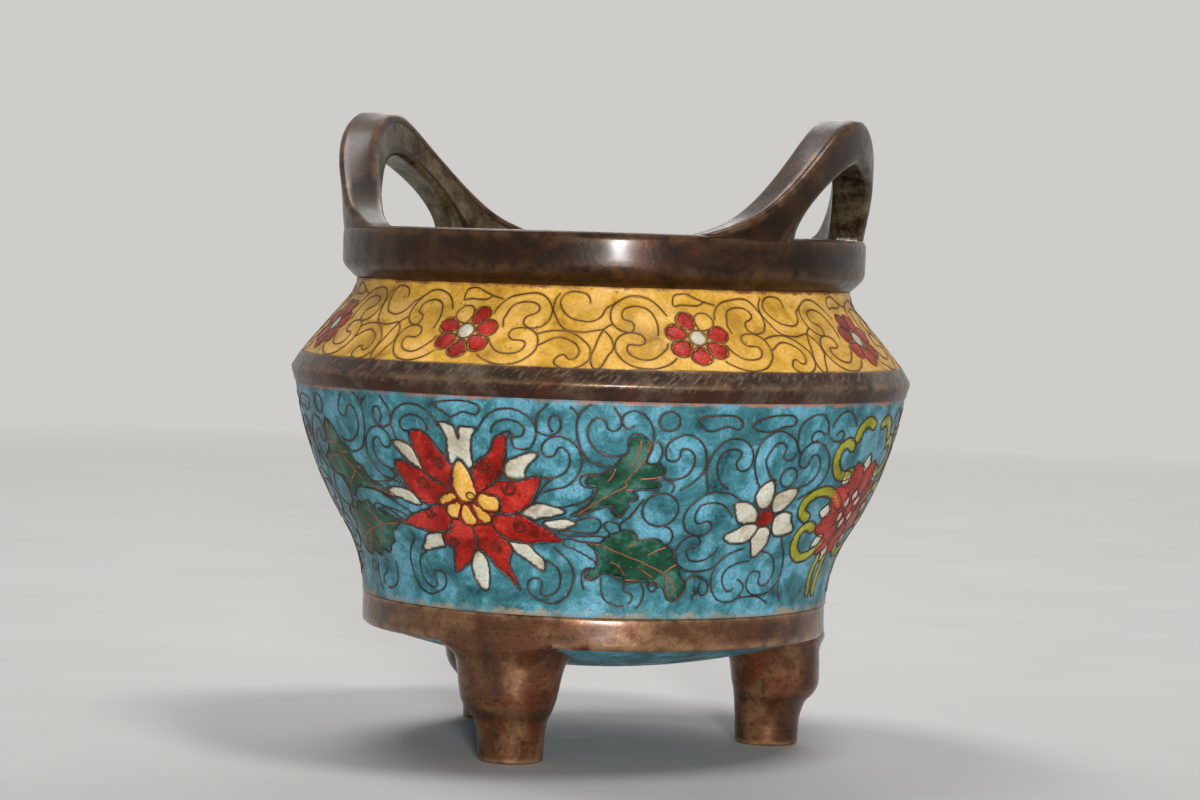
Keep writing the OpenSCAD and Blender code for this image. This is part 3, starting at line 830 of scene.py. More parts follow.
# Lotus at the front and back, drawn about across 0
lotus_red = [outlined(p) for p in points_of("""
    22,128 32,118 48,108 59,93 64,76 79,66 96,59 96,59 87,81 85,106 79,128 76,143 63,156 53,166
    40,174 24,182 18,161 15,143;
    -82,67 -101,72 -100,93 -93,116 -87,136 -80,151 -67,161 -52,171 -33,181 -29,164 -24,146 -20,132
    -28,125 -32,113 -44,101 -54,86 -67,73;
    63,156 79,153 100,156 118,151 134,144 145,149 145,149 141,166 132,186 123,203 105,216 87,224
    69,227 58,220 64,204 59,191 42,185 38,175 53,166;
    -145,129 -145,129 -150,142 -141,161 -130,184 -117,199 -104,211 -88,216 -65,211 -59,196 -46,188
    -33,183 -44,173 -62,166 -78,153 -88,145 -109,138 -130,129;
    40,237 57,226 79,226 100,223 116,231 137,244 157,256 182,277 182,277 157,281 131,284 105,285
    79,281 58,274 45,259;
    -189,261 -189,261 -169,254 -146,241 -119,231 -99,224 -78,215 -59,213 -53,226 -46,240 -52,256
    -65,269 -83,274 -109,275 -135,271 -161,264;
    -2,255 10,251 26,247 40,243 46,260 58,274 71,287 74,304 66,321 64,336 74,356 85,383 85,383
    58,359 32,339 14,315 0,307 -2,281;
    -5,255 -19,251 -25,243 -45,241 -51,257 -65,271 -80,277 -83,291 -75,301 -65,309 -70,336 -73,357
    -73,357 -59,354 -46,344 -25,331 -18,316 -7,307 -3,281
    """)]
lotus_white = [outlined(p) for p in points_of("""
    -24,130 -27,106 -25,81 -32,63 -40,51 -40,51 -25,50 -10,55 -6,61 -3,78 -1,78 2,58 22,57 40,58
    40,58 26,73 22,93 21,111 22,132 11,137 3,125 -6,118 -16,128;
    79,128 81,146 92,153 116,151 118,138 126,123 142,106 139,100 123,100 105,108 87,117;
    -148,93 -148,93 -133,111 -119,126 -104,136 -87,146 -86,136 -93,117 -100,102 -117,92 -135,90;
    123,203 137,199 157,201 182,209 188,216 164,226 142,230 129,234 117,230 101,222 107,215;
    142,239 165,231 190,229 208,236 195,247 174,254 154,250;
    -193,192 -193,192 -174,185 -148,184 -127,189 -117,200 -107,212 -112,218 -135,216 -161,207
    -186,203;
    68,284 84,284 110,287 123,304 137,316 141,334 135,344 118,334 100,321 84,311 75,301;
    -80,276 -109,277 -127,285 -138,299 -153,314 -153,314 -135,317 -109,310 -85,306 -83,294;
    -5,306 -18,317 -27,336 -25,361 -15,379 -3,387 9,384 14,361 15,336 10,319 1,309
    """)]
lotus_heart = [outlined(p) for p in points_of("""
    -6,119 -6,119 -17,131 -24,151 -28,171 -26,186 -20,197 -7,206 6,206 16,197 22,183 18,166 12,143
    3,127;
    -28,186 -46,188 -59,196 -66,210 -52,213 -36,206 -21,198;
    23,185 42,185 58,190 64,204 58,220 40,222 24,215 16,201;
    -21,203 -36,207 -50,215 -53,229 -45,240 -32,242 -24,229 -16,212;
    -16,211 -23,235 -18,250 -5,255 9,250 12,241 5,226 0,210;
    3,209 9,226 16,242 29,250 42,242 43,229 30,219 16,207
    """)]
lotus_base = [circle(-0.1, 20.8, 5.8)]
curl_eye_r = 0.55
curl_sweep = 420
lotus_curls = [spiral(x, y, curl_eye_r, r, turn, curl_sweep) for x, y, r, turn in (
    (4.2, 13.1, 1.3, 110), (8.6, 17.2, 1.5, 150), (9.9, 24.9, 1.4, 190), (-4.9, 12.8, 1.2, 20),
    (-9.1, 17.2, 1.3, -20), (-9.4, 23.4, 1.3, -40), (-5.7, 29.5, 1.3, -60), (4.2, 29.7, 1.3, 240),
    (0.6, 19.2, 1.2, 60))]

# Leaves on both sides of a lotus, their veins and stems
leaf_fields = [outlined(p, 3) for p in points_of("""
    197,221 212,210 227,199 237,185 243,172 244,163 236,161 228,158 224,151 228,142 242,139 257,132
    270,122 278,112 283,105 292,98 296,85 295,72 300,62 302,59 313,58 323,64 333,76 332,92 329,112
    343,113 353,116 361,122 363,130 359,137 343,143 342,147 352,149 358,155 353,162 337,165 319,166
    307,169 316,174 317,185 307,188 299,193 303,198 297,210 290,218 283,218 277,210 272,198 262,200
    250,205 235,211 220,217 208,222;
    226,276 245,279 255,276 262,269 268,264 277,257 292,251 294,249 307,248 319,253 326,262 328,271
    339,269 354,266 372,269 378,277 388,282 400,288 405,299 405,309 414,318 424,327 428,340 432,348
    444,358 445,370 437,385 427,392 417,395 404,389 397,375 390,365 380,369 373,362 359,364 352,355
    337,358 319,361 307,362 301,352 294,350 287,349 275,345 262,342 252,350 242,355 231,352 224,346
    228,338 242,333 249,325 248,312 245,297 235,286;
    -172,201 -208,183 -234,171 -243,151 -264,141 -274,116 -300,101 -316,76 -344,61 -358,91 -358,121
    -382,136 -379,161 -344,176 -323,181 -328,206 -313,216 -292,197 -261,193 -219,197 -182,207;
    -194,257 -219,243 -250,237 -267,220 -292,227 -313,223 -330,241 -360,237 -381,257 -379,281
    -405,301 -400,331 -370,345 -344,334 -318,343 -297,329 -271,333 -253,314 -235,307 -227,285
    -204,273
    """)]
leaf_veins = [curve_through(p, 6) for p in points_of("""
    210,219 232,202 255,185 275,172 297,158 294,149 307,132 319,115 327,102;
    263,151 271,138 276,124;
    302,122 308,108 315,88 317,70;
    319,144 342,142 358,138;
    295,169 299,166 309,166;
    329,95 332,78 327,70;
    226,277 245,281 262,286 287,297 294,299 317,309 339,316 359,326 379,334 399,345 412,358 420,372
    426,390;
    350,304 364,296 377,289 388,285;
    307,285 319,281 326,273;
    334,326 347,336 364,347 375,358;
    294,326 302,337 307,344;
    310,355 329,355 343,357;
    277,320 290,324 300,335 307,345;
    392,340 404,330 417,322;
    399,347 402,370 409,387;
    -177,203 -219,191 -261,171 -297,136 -326,96 -342,67;
    -253,153 -276,150;
    -281,123 -302,125;
    -302,134 -346,134 -375,147;
    -276,161 -318,196;
    -319,109 -355,107;
    -196,263 -240,269 -292,281 -344,299 -391,326;
    -250,271 -281,241;
    -302,283 -344,251;
    -266,277 -297,321;
    -323,293 -360,336;
    -344,297 -386,284
    """)]
stems = [curve_through(p, 4) for p in points_of("""
    186,230 200,222 217,216 235,212;
    181,272 197,272 212,276 227,277 243,280;
    181,286 197,291 212,299 230,309 243,318 250,326;
    248,333 237,332 226,334 219,342 217,352 219,366 223,376;
    222,345 225,353 235,357 245,355;
    303,44 295,49 287,46 283,38 283,28 290,20 302,16 302,16 311,18 320,23 329,35 336,52 338,68
    336,85 332,95;
    238,163 226,163 217,158 214,149 218,141 228,137 241,136;
    270,196 272,208 278,218 287,223 294,216 298,204 304,195 294,191 303,189 312,188 318,184 319,178
    312,172 302,171;
    291,236 300,226 309,219 302,226 309,216 316,208 322,196 329,185;
    344,71 351,79 354,90 354,99 349,108 353,115 359,121 363,129 360,138;
    377,240 386,243 393,252 396,264 393,274 386,280;
    -130,273 -161,261 -196,255;
    -140,237 -172,219 -208,203;
    -156,243 -198,231 -240,235;
    -146,157 -177,173 -219,177
    """)]

# Small flower with six petals, right of a lotus; its mirror image is on the left
floret_petals = [outlined(p) for p in points_of("""
    570,205 549,185 550,164 568,146 582,150 589,174 587,197;
    602,213 590,195 594,174 617,163 643,163 645,173 637,192 624,207;
    607,223 625,211 650,215 658,231 676,253 662,260 637,265 617,255;
    581,242 568,264 576,282 592,309 609,299 617,276 612,253 597,240;
    574,237 547,234 527,246 504,260 517,275 547,278 568,270 578,248;
    568,214 552,197 532,188 506,191 511,205 524,230 547,235 568,230
    """)]
floret_eye = [outlined(p) for p in points_of("""
    567,215 583,203 601,212 608,226 597,240 577,241 567,231
    """)]

# Flower under each ear, drawn about across 0 and set a quarter round, and its hook scrolls
side_at = (0, 21.5)
side_red = with_mirrored([
    petal(side_at, a, 3.4, 7.4, 6.6, 0.85) for a in (-67.5, -22.5, 22.5, 67.5)])
side_red += [circle(*side_at, 1.5)]
outer_white = {a: petal(side_at, a, 7.4, 4.2, 3.2, 0.9) for a in (-90, -45, 0, 45, 90)}
side_white = with_mirrored([outer_white[a] for a in (-45, 0, 45)])
side_white += [outer_white[a] for a in (-90, 90)]
side_white += [petal(side_at, 60 * k + 30, 1.5, 3, 2.7, 1.2, 0.6) for k in range(6)]
side_base = [circle(*side_at, 5)]
lime_width = 2.2
lime_hooks = [strip(p, lime_width) for p in points_of("""
    793,135 757,142 733,125 726,103 733,84 752,76 767,84;
    791,203 762,183 730,172 699,176 676,193 678,214 699,227;
    805,287 782,309 747,317 717,304 699,279 700,256 717,245 735,251;
    776,67 783,49 805,37 827,43;
    831,321 828,351 833,391
    """)]

# Cloud hooks, curls and small cells right of a lotus; their mirror images are on the left
belly_lines = [curve_through(p, 4) for p in points_of("""
    38,59 46,45 57,32 72,23 90,19 105,21 120,28 132,38 138,50 140,62 137,75 131,88 121,94 108,94
    100,91 97,82 97,72 97,64;
    61,66 63,55 72,45 85,40 97,40 110,45 118,52 119,61 115,69 106,71 98,71;
    140,58 140,42 143,28 152,18 160,8;
    197,12 206,20 212,29;
    141,59 150,64 161,67 173,62 181,52 182,41 177,31 169,29 163,35 161,45 164,54 168,59;
    148,176 160,171 172,168 187,164 200,154 211,139 217,120 217,105 211,89 200,76 187,69 175,67
    162,71 153,79 148,88 150,99 156,106 163,106 171,102 174,94 178,88 185,88 193,95 197,109 196,122
    188,135 177,143 163,147 150,146 141,143 155,149 167,149 156,156 147,168 137,185 131,192;
    131,196 145,199 162,204 181,205 197,201 212,196 227,188 236,178 239,166;
    167,255 177,250 192,241 210,231 227,225 241,224 251,229 254,237 252,246 245,255 227,257 210,255
    187,254 173,256;
    271,263 270,255 262,246 259,239 263,233 272,231 283,234 290,242 292,252;
    173,261 192,264 212,264 237,263 257,264 270,267;
    161,291 173,302 187,316 197,332 201,348 198,366 192,382 180,394 162,402 145,403 127,398 112,392
    103,383 100,373 103,363 113,358 123,357 131,362 132,371 128,379 129,387 140,390 153,387 166,378
    172,364 172,348 166,334 155,326 142,320;
    258,352 259,366 261,381 266,391 277,399 295,404 310,403;
    267,120 255,120 240,116 227,108 217,92 211,75 208,58 208,40 213,24 223,12 232,6;
    293,92 287,98 272,102 257,99 245,93 235,83 228,70 226,58 229,45 235,34 245,31 253,34 257,42
    260,50 267,54 276,52 281,44 281,32 275,20 268,10;
    395,164 399,161 412,152 424,140 432,128 435,112 433,98 428,82 419,70 407,61 394,58 384,60 376,64
    367,70 361,79 359,90 361,101 368,108 376,109 383,104 386,96 385,90 389,84 398,85 406,90 412,99
    413,111 409,125 401,136 388,142 374,144 362,142 372,147 380,152 382,161 379,169;
    447,162 442,148 438,132 437,115 442,98 451,82 462,71 474,65 489,65 503,69 514,79 521,91 524,105
    522,116 516,124 507,126 498,124 493,116 492,108 497,99 499,92 494,87 484,84 474,86 464,91
    458,101 456,114 458,129 464,142 474,154 486,161;
    554,161 544,149 536,134 529,115 528,98 531,79 538,64 549,58 561,51 576,51 591,57 605,66 613,79
    624,93;
    584,146 569,138 558,122 551,109 552,99 558,86 564,76 574,72 584,75 590,81 588,90 586,96 590,103
    598,106 608,104 614,96;
    519,186 507,178 492,171 474,168 457,168 442,174 428,185 417,199 411,212 411,226 416,241 424,251
    436,256 448,258 459,256 468,251 472,242 470,234 464,229 456,228 447,232 441,233 435,227 432,218
    434,206 439,196 449,191 464,189 479,192 492,200 503,211 509,219;
    563,288 542,295 527,303 517,313 507,322 497,331 482,335 464,337 447,336 432,331 419,321 412,306
    410,290 413,277 422,265 432,260 443,259 452,265 457,273 454,281 446,285 436,287 432,294 436,304
    444,313 457,316 471,314 484,308 494,298 499,286;
    507,331 503,343 503,356 508,371 516,384 527,393 542,397 554,397 566,396 579,390 588,381 592,371;
    589,317 574,318 559,321 547,326 537,332 531,343 531,356 538,368 547,376 556,377 563,373;
    442,359 448,351 459,346 472,346 483,352 493,358 498,367 497,377 491,383 483,383 477,377 476,368
    479,359;
    332,218 341,215 351,209 357,199 357,190 351,186 342,188 334,195 331,205;
    306,363 308,374 317,379 327,383 327,393 320,400;
    344,361 351,373 351,388 345,401 337,408;
    624,94 614,78 611,60 611,45 620,32 634,23 649,19 663,21 674,30 680,42 684,58;
    659,68 650,72 643,67 642,60 646,54 654,51 664,52 674,57;
    652,185 669,175 682,169 697,158 707,142 709,122 703,104 693,90 682,80 669,74 654,72 642,75
    632,84 626,94 625,105 628,115 635,121 644,121 650,115 651,105 657,97 667,96 675,104 682,115
    683,128 679,140 669,151 657,158 643,160;
    692,45 697,30 709,19 724,14 742,20 754,30 761,42;
    692,65 704,71 719,72 728,66 728,58 722,52 713,54 706,60;
    648,264 657,277 669,290 682,306 692,323 697,341 698,358 700,373 704,388 712,401;
    697,356 689,369 674,381 654,386 634,387 619,385 604,376 597,363 598,352 602,344 608,340 618,339
    627,342 632,349 630,357 633,364 642,369 653,368 663,363 669,353 671,341 665,327 655,314 643,306
    629,300 612,296;
    592,371 586,362 570,354;
    584,390 604,389 632,389 649,394 669,403
    """)]
belly_cells = [circle(*c) for c in (
    (36.3, 20.5, 3.4), (36.2, 3.4, 1.8), (61.1, 14, 1.9), (37, 36.6, 1))]
belly_cells += [outlined(p) for p in points_of("""
    409,29 409,29 425,24 447,22 472,22 487,29 492,38 490,45 482,47 465,42 455,45 442,50 431,51
    422,45;
    509,38 509,38 525,29 542,24 560,21 575,20 592,22 601,31 594,40 575,42 559,49 545,52 532,51
    518,47
    """)]
crown_cell = [outlined(p) for p in points_of("""
    -44,16 -24,32 -12,40 10,30 36,33 42,20 30,12 0,9
    """)]

# Neck: a flower of seven round petals, and hooks and curls up to the next one
neck_flower_at = (0, 10.4)
neck_petals = [petal(neck_flower_at, 360 * k / 7 + 92, 1.8, 4.5, 3.9, 1.3, 0.55) for k in range(7)]
neck_eye = [circle(*neck_flower_at, 1.75)]
neck_drops = [outlined(p) for p in points_of("""
    252,91 252,91 244,112 239,131 234,148 233,164 237,177 243,181 250,176 254,167 262,148 269,137
    270,124 265,107;
    -34,33 -36,23 -32,12 -19,9 -6,9 9,15 30,23 30,23 18,30 1,31 -19,30
    """)]
neck_lines = [curve_through(p, 4) for p in points_of("""
    30,23 42,26 53,29;
    44,62 46,51 52,39 60,30 71,23 82,20 98,17 115,15 130,17 142,24 151,36 156,49 156,61 153,73
    147,83 138,90 125,93 115,90 108,83 107,73 112,65 122,61 130,54 131,45 123,36 110,33 94,34 80,40
    73,51 70,63 67,74 69,83 71,92;
    40,157 48,164 59,170 73,176 87,178 103,176 117,170 128,160 137,148 141,136 141,121 137,108
    128,98 117,93 103,93 92,96 86,105 88,114 96,121 108,121 116,123 120,130 118,139 111,148 98,152
    85,152 73,148 63,139 56,129 51,119;
    135,106 145,102 156,98 170,96 184,96 195,99 209,107 221,119 230,131 232,143 231,157 224,169
    214,177 202,182 191,182 180,177 174,169 175,161 182,152 190,151 194,157 200,161 207,158 212,150
    213,138 207,126 197,118 183,112 170,113 159,119 149,127 142,131;
    167,14 159,26 157,45 161,57 167,69 174,82 184,92 195,96 216,98 223,97 239,93 252,90 261,82
    268,78;
    226,31 226,25 220,15 207,11 193,10 179,14 171,23 169,33 174,46 183,58 194,67 206,71 220,73
    221,74 235,71 245,64 251,56 254,48 258,40 267,35 276,28;
    372,55 366,45 360,36 351,27 339,20 325,16 311,15 297,17 285,23 274,31 267,43 265,55 266,69
    272,81 280,89 290,94 302,95 307,88 308,79 304,71 296,68 289,65 287,60 287,50 291,42 302,37
    315,35 329,38 340,45 347,57 351,71 352,86 350,101;
    377,152 366,164 350,173 336,177 320,177 304,173 290,164 280,151 274,138 273,124 277,110 287,100
    299,96 312,97 321,102 326,112 324,120 315,124 304,123 296,124 293,133 297,144 306,152 320,157
    334,156 345,149 355,139 363,129 366,119
    """)]


# Fields and wires on the surface

def inside(outline, p):
    """Whether a flat point lies within a flat outline."""
    odd = False
    a = outline[-1]
    for b in outline:
        if (a.y > p.y) != (b.y > p.y) and p.x < a.x + (p.y - a.y) * (b.x - a.x) / (b.y - a.y):
            odd = not odd
        a = b
    return odd


def tree_of(points):
    tree = kdtree.KDTree(len(points))
    for i, p in enumerate(points):
        tree.insert((p.x, p.y, 0), i)
    tree.balance()
    return tree


def away_from(tree, p):
    return tree.find((p.x, p.y, 0))[2]


# Fields: their mesh, their heights over the ground and the width of their slope at the edge
field_step = 0.7
field_edge_gap = 0.4 * field_step
field_height = 0.06
under_height = 0.02
field_seat = -0.04
field_slope = 0.5
on_rim_within = 0.02
mark_step = 0.3


def field_shell(band, outline, height, marks):
    """A thin lens of enamel over a flat outline: points, faces and the distance from its wires."""
    near = tree_of(outline)
    wires = tree_of(outline + marks)
    low = Vector((min(p.x for p in outline), min(p.y for p in outline)))
    high = Vector((max(p.x for p in outline), max(p.y for p in outline)))
    flat = list(outline)
    for i in range(int((high.x - low.x) / field_step) + 1):
        for j in range(int((high.y - low.y) / field_step) + 1):
            p = low + Vector(((i + 0.5 * (j % 2)) * field_step, (j + 0.5) * field_step))
            if inside(outline, p) and away_from(near, p) > field_edge_gap:
                flat.append(p)
    count = len(outline)
    rim = [(i, (i + 1) % count) for i in range(count)]
    flat, _, triangles, *_ = geometry.delaunay_2d_cdt(flat, rim, [], 1, 1e-5)
    points, distance, upper, lower = [], [], [], []
    for p in flat:
        d = away_from(near, p)
        upper.append(len(points))
        lower.append(len(points))
        rise = (height - field_seat) * smooth_step(d / field_slope)
        points.append(on_band(band, p.x, p.y, field_seat + rise))
        distance.append(away_from(wires, p))
        if d >= on_rim_within:
            lower[-1] = len(points)
            points.append(on_band(band, p.x, p.y, field_seat))
            distance.append(d)
    faces = []
    for a, b, c in triangles:
        if (flat[b] - flat[a]).cross(flat[c] - flat[a]) > 0:
            b, c = c, b
        faces.append((upper[a], upper[b], upper[c]))
        if (lower[a], lower[b], lower[c]) != faces[-1]:
            faces.append((lower[a], lower[c], lower[b]))
    return points, faces, distance


def make_fields(name, node, band, outlines, enamel, under=(), marks=()):
    """Fields of one colour, some of them a little lower so that other colours lie over them."""
    marks = [p for line in marks for p in respaced(line, mark_step)]
    points, faces, distance = [], [], []
    heights = [(o, field_height) for o in outlines] + [(o, under_height) for o in under]
    for outline, height in heights:
        shell, shell_faces, shell_distance = field_shell(band, outline, height, marks)
        faces += [tuple(len(points) + v for v in face) for face in shell_faces]
        points += shell
        distance += shell_distance
    make_piece(name, node, points, faces, enamels[enamel], {"edge": distance})


# Wires: a section as (share of the half width, height over the ground), steps and unevenness
wire_section = [(-1, -0.06), (-1, 0.05), (-0.55, 0.1), (0.55, 0.1), (1, 0.05), (1, -0.06)]
wire_step = 0.42
wire_close_gap = 0.3
wire_wave, wire_wave_share = 1.7, 0.25
neck_wire_half = 0.14
belly_wire_half = 0.15
run_step = 0.4
run_least = 4
end_share = 0.3


def respaced(line, step):
    """Points at even steps along a line."""
    result = [line[0]]
    left = step
    for a, b in zip(line, line[1:]):
        length = (b - a).length
        at = left
        while at <= length and length > 0:
            result.append(a.lerp(b, at / length))
            at += step
        left = at - length
    if (result[-1] - line[-1]).length > end_share * step:
        result.append(line[-1])
    return result


def outside(lines, outlines):
    """The runs of some lines that lie outside all outlines."""
    boxes = [(min(p.x for p in o), max(p.x for p in o), min(p.y for p in o), max(p.y for p in o), o)
             for o in outlines]
    runs = []
    for line in lines:
        run = []
        for p in respaced(line, run_step):
            if any(l < p.x < r and t < p.y < b and inside(o, p) for l, r, t, b, o in boxes):
                runs.append(run)
                run = []
            else:
                run.append(p)
        runs.append(run)
    return [run for run in runs if len(run) >= run_least]


def make_wires(name, node, band, open_lines, closed_lines, half_width, material, rubbed_lines=()):
    """Wires along flat lines, rubbed ones in bright copper. Returns the flat points they pass."""
    points, faces, samples, wear_and_painted_light = [], [], [], []
    span = len(wire_section)
    lines = [(l, False, 0.0) for l in open_lines] + [(l + l[:1], True, 0.0) for l in closed_lines]
    for line, closed, rubbed in lines + [(l, False, 1.0) for l in rubbed_lines]:
        line = respaced(line, wire_step)
        if closed and (line[-1] - line[0]).length < wire_close_gap:
            line.pop()
        first = len(points)
        samples += line
        count = len(line)
        for i, p in enumerate(line):
            ahead = line[(i + 1) % count] if closed else line[min(i + 1, count - 1)]
            back = line[i - 1] if closed else line[max(i - 1, 0)]
            way = (ahead - back).normalized()
            wave = noise.noise(Vector((p.x, p.y, 0)) / wire_wave)
            side = Vector((-way.y, way.x)) * (half_width * (1 + wire_wave_share * wave))
            for across, proud in wire_section:
                q = p + side * across
                points.append(on_band(band, q.x, q.y, proud))
                wear_and_painted_light.append(rubbed)
        faces += [tuple(first + v for v in face) for face in grid_faces(count, span, closed)]
        if not closed:
            faces.append(tuple(first + v for v in range(span)))
            faces.append(tuple(first + (count - 1) * span + v for v in reversed(range(span))))
    make_piece(name, node, points, faces, material, {"wear_and_painted_light": wear_and_painted_light})
    return samples


# The ground sinks a little between the wires
ground_around = 816
ground_rows = 60
ground_sag = 0.05
sag_from = 0.3
sag_run = 1.2


def make_ground(name, node, band, length, enamel, wire_samples):
    """The enamel between the wires, with the way from each place to a wire and to both borders."""
    lap = 2 * math.pi * pattern_r
    near = tree_of(wire_samples + [Vector((p.x - lap, p.y)) for p in wire_samples])
    downs = [length * i / ground_rows for i in range(ground_rows + 1)]
    points, edge, top_border, low_border = [], [], [], []
    for down, depth in [(d, 0) for d in downs] + [(d, enamel_depth) for d in reversed(downs)]:
        for j in range(ground_around):
            across = -lap * j / ground_around
            away = near.find((across, down, 0))[2]
            sag = ground_sag * smooth_step((away - sag_from) / sag_run)
            points.append(on_band(band, across, down, -max(depth, sag)))
            edge.append(away)
            top_border.append(down)
            low_border.append(length - down)
    faces = grid_faces(2 * ground_rows + 2, ground_around, True)
    make_piece(name, node, points, faces, enamels[enamel],
               {"edge": edge, "top_border": top_border, "low_border": low_border})


# Two flowers at the front of the neck have a petal each that was left the colour of the ground
empty_petals = (3, 7 + 4)


def make_neck_enamel():
    petals, eyes = round_neck(neck_petals), round_neck(neck_eye)
    red = [p for i, p in enumerate(petals) if i not in empty_petals]
    make_fields("neck_red_petals", "neck_flower_petals", "neck", red, "red_enamel")
    make_fields("neck_white_eyes", "neck_flower_eyes", "neck", eyes, "white_enamel")
    samples = make_wires("neck_cells", "neck_wires", "neck", round_neck(neck_lines),
                         petals + eyes + round_neck(neck_drops), neck_wire_half, PALE_WIRE)
    make_ground("neck_yellow", "neck_ground", "neck", neck_len, "yellow_enamel", samples)


def make_belly_enamel():
    base, curls = on_front_and_back(lotus_base), on_front_and_back(lotus_curls)
    side_under = on_front_and_back(shifted(side_base, quarter))
    cells = []
    for name, node, outlines, enamel, under in (
            ("lotus_red", "lotus_red_petals", on_front_and_back(lotus_red), "red_enamel", base),
            ("lotus_white", "lotus_white_petals", on_front_and_back(lotus_white),
             "white_enamel", ()),
            ("lotus_heart", "lotus_hearts", on_front_and_back(lotus_heart), "yellow_enamel", ()),
            ("leaf_green", "leaves", on_front_and_back(leaf_fields), "green_enamel", ()),
            ("floret_white", "floret_petals", both_sides(floret_petals), "white_enamel", ()),
            ("floret_red", "floret_eyes", both_sides(floret_eye), "red_enamel", ()),
            ("side_red", "side_flower_red_petals",
             on_front_and_back(shifted(side_red, quarter)), "red_enamel", side_under),
            ("side_white", "side_flower_white_petals",
             on_front_and_back(shifted(side_white, quarter)), "white_enamel", ()),
            ("lime_scrolls", "hook_scrolls", both_sides(lime_hooks), "lime_enamel", ())):
        make_fields(name, node, "belly", outlines, enamel, under, curls)
        cells += outlines
    cells += both_sides(belly_cells) + on_front_and_back(crown_cell)
    open_lines = outside(both_sides(belly_lines) + on_front_and_back(stems), cells)
    samples = make_wires("belly_cells", "belly_wires", "belly", open_lines + curls, cells,
                         belly_wire_half, WIRE, on_front_and_back(leaf_veins))
    make_ground("belly_turquoise", "belly_ground", "belly", belly_len, "turquoise_enamel", samples)


make_rings()
make_walls()
make_ear("ear_arch_right", "ear_right", 0, 0, 1)
make_ear("ear_arch_left", "ear_left", math.pi, 1.5, 1.04)
for place, thirds in (("front", 0), ("right", 1), ("left", -1)):
    make_foot("leg_" + place, "foot_" + place, foot_turn + thirds * math.radians(120))
make_neck_enamel()
make_belly_enamel()

# Stage, light and camera: lengths in metres

floor_reach = 3.0
floor_sides = 96
floor_fade = (0.3, 1.1)
floor_tones = ((0.7, 0.69, 0.67, 1), (0.74, 0.73, 0.71, 1))
light_colour = (1, 0.99, 0.97, 1)
light_strength = 0.085
backdrop_colour = (0.62, 0.61, 0.59, 1)
camera_turn = math.radians(22)
camera_pitch = math.radians(2.464)
camera_roll = math.radians(1.749)
camera_way = 0.66606
camera_height = 0.09475
camera_lens = 103.1
camera_sensor = 36
aim = Vector((0, 0, 0.065))


def place_object(name, data):
    made = bpy.data.objects.new(name, data)
    bpy.context.scene.collection.objects.link(made)
    return made


def make_floor():
    """A pale disc that fades out towards the backdrop."""
    turns = [2 * math.pi * k / floor_sides for k in range(floor_sides)]
    rim = [Vector((floor_reach * math.cos(a), floor_reach * math.sin(a), 0)) for a in turns]
    mesh = bpy.data.meshes.new("floor")
    mesh.from_pydata(rim, [], [tuple(range(floor_sides))])
    s = Shader("pale_floor")
    tone = s.ramp(s.noise(60, 3), (0.3, floor_tones[0]), (0.7, floor_tones[1]))
    s.finish(tone, 0.9, s.bump(s.noise(1.5, 2), 0.02, 0.2), {"Specular IOR Level": 0.02})
    far = s.node("ShaderNodeVectorMath", {0: s.place}, operation="LENGTH").outputs["Value"]
    clear = s.node("ShaderNodeBsdfTransparent").outputs[0]
    fading = s.node("ShaderNodeMixShader", {
        0: s.fade(far, *floor_fade), 1: s.surface.outputs[0], 2: clear})
    s.put(s.tree.nodes["Material Output"].inputs["Surface"], fading.outputs[0])
    mesh.materials.append(s.material)
    floor = place_object("floor", mesh)


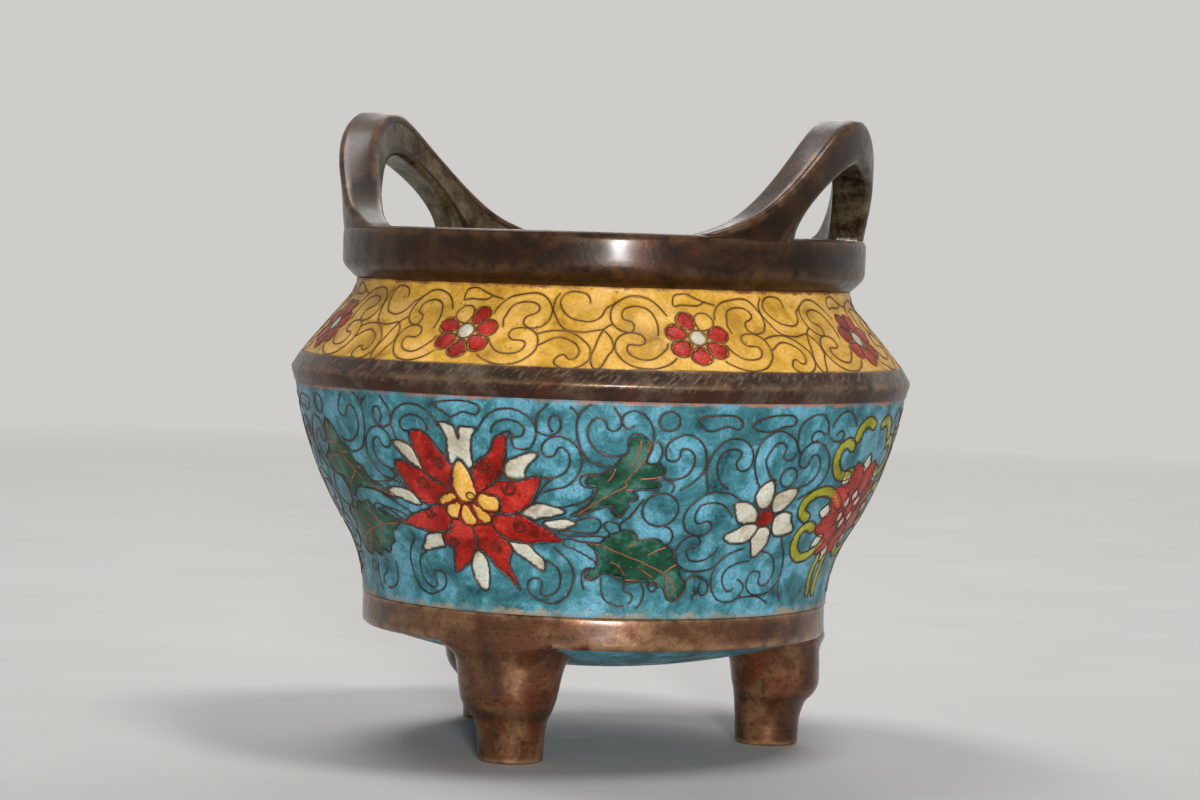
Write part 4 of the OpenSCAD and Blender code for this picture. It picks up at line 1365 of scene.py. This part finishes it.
def make_world():
    """Even soft light, and a pale backdrop where it is seen."""
    world = bpy.data.worlds.new("studio")
    world.use_nodes = True
    s = Nodes(world.node_tree)
    light = s.tree.nodes["Background"]
    light.inputs["Color"].default_value = light_colour
    light.inputs["Strength"].default_value = light_strength
    seen = s.node("ShaderNodeBackground", {"Color": backdrop_colour})
    path = s.node("ShaderNodeLightPath").outputs
    ray = path["Is Camera Ray"]
    for label in ("Is Glossy Ray", "Is Transmission Ray"):
        ray = s.maths("MAXIMUM", ray, path[label])
    choice = s.node("ShaderNodeMixShader", {0: ray, 1: light.outputs[0], 2: seen.outputs[0]})
    s.put(s.tree.nodes["World Output"].inputs["Surface"], choice.outputs[0])
    bpy.context.scene.world = world


def make_lamp(name, turn, height, way, size, power, spread):
    """A soft box, turned in degrees from the camera's side and aimed at the object."""
    light = bpy.data.lights.new(name, "AREA")
    light.size = size
    light.energy = power
    light.spread = math.radians(spread)
    lamp = place_object(name, light)
    a = camera_turn + math.radians(turn)
    lamp.location = (way * math.sin(a), -way * math.cos(a), height)
    lamp.rotation_euler = (aim - lamp.location).to_track_quat("-Z", "Y").to_euler()


def make_camera():
    data = bpy.data.cameras.new("photo")
    data.lens = camera_lens
    data.sensor_width = camera_sensor
    camera = place_object("photo", data)
    ahead = Vector((-math.sin(camera_turn) * math.cos(camera_pitch),
                    math.cos(camera_turn) * math.cos(camera_pitch), -math.sin(camera_pitch)))
    level = Vector((math.cos(camera_turn), math.sin(camera_turn), 0))
    upright = level.cross(ahead)
    right = level * math.cos(camera_roll) + upright * math.sin(camera_roll)
    up = upright * math.cos(camera_roll) - level * math.sin(camera_roll)
    camera.matrix_world = Matrix.LocRotScale(
        turned(camera_way, camera_height, camera_turn),
        Matrix((right, up, -ahead)).transposed().to_quaternion(), None)
    bpy.context.scene.camera = camera


make_floor()
make_world()
for row in (
        ("top_left", -130, 0.95, 0.36, 0.3, 2.8, 180),
        ("top_right", 62, 0.95, 0.26, 0.2, 2.6, 180),
        ("front", 6, 0.2, 2, 0.24, 0.505, 18),
        ("back", 170, 0.7, 0.8, 0.6, 3, 180)):
    make_lamp(*row)
make_camera()
bpy.context.scene.view_settings.view_transform = "Standard"
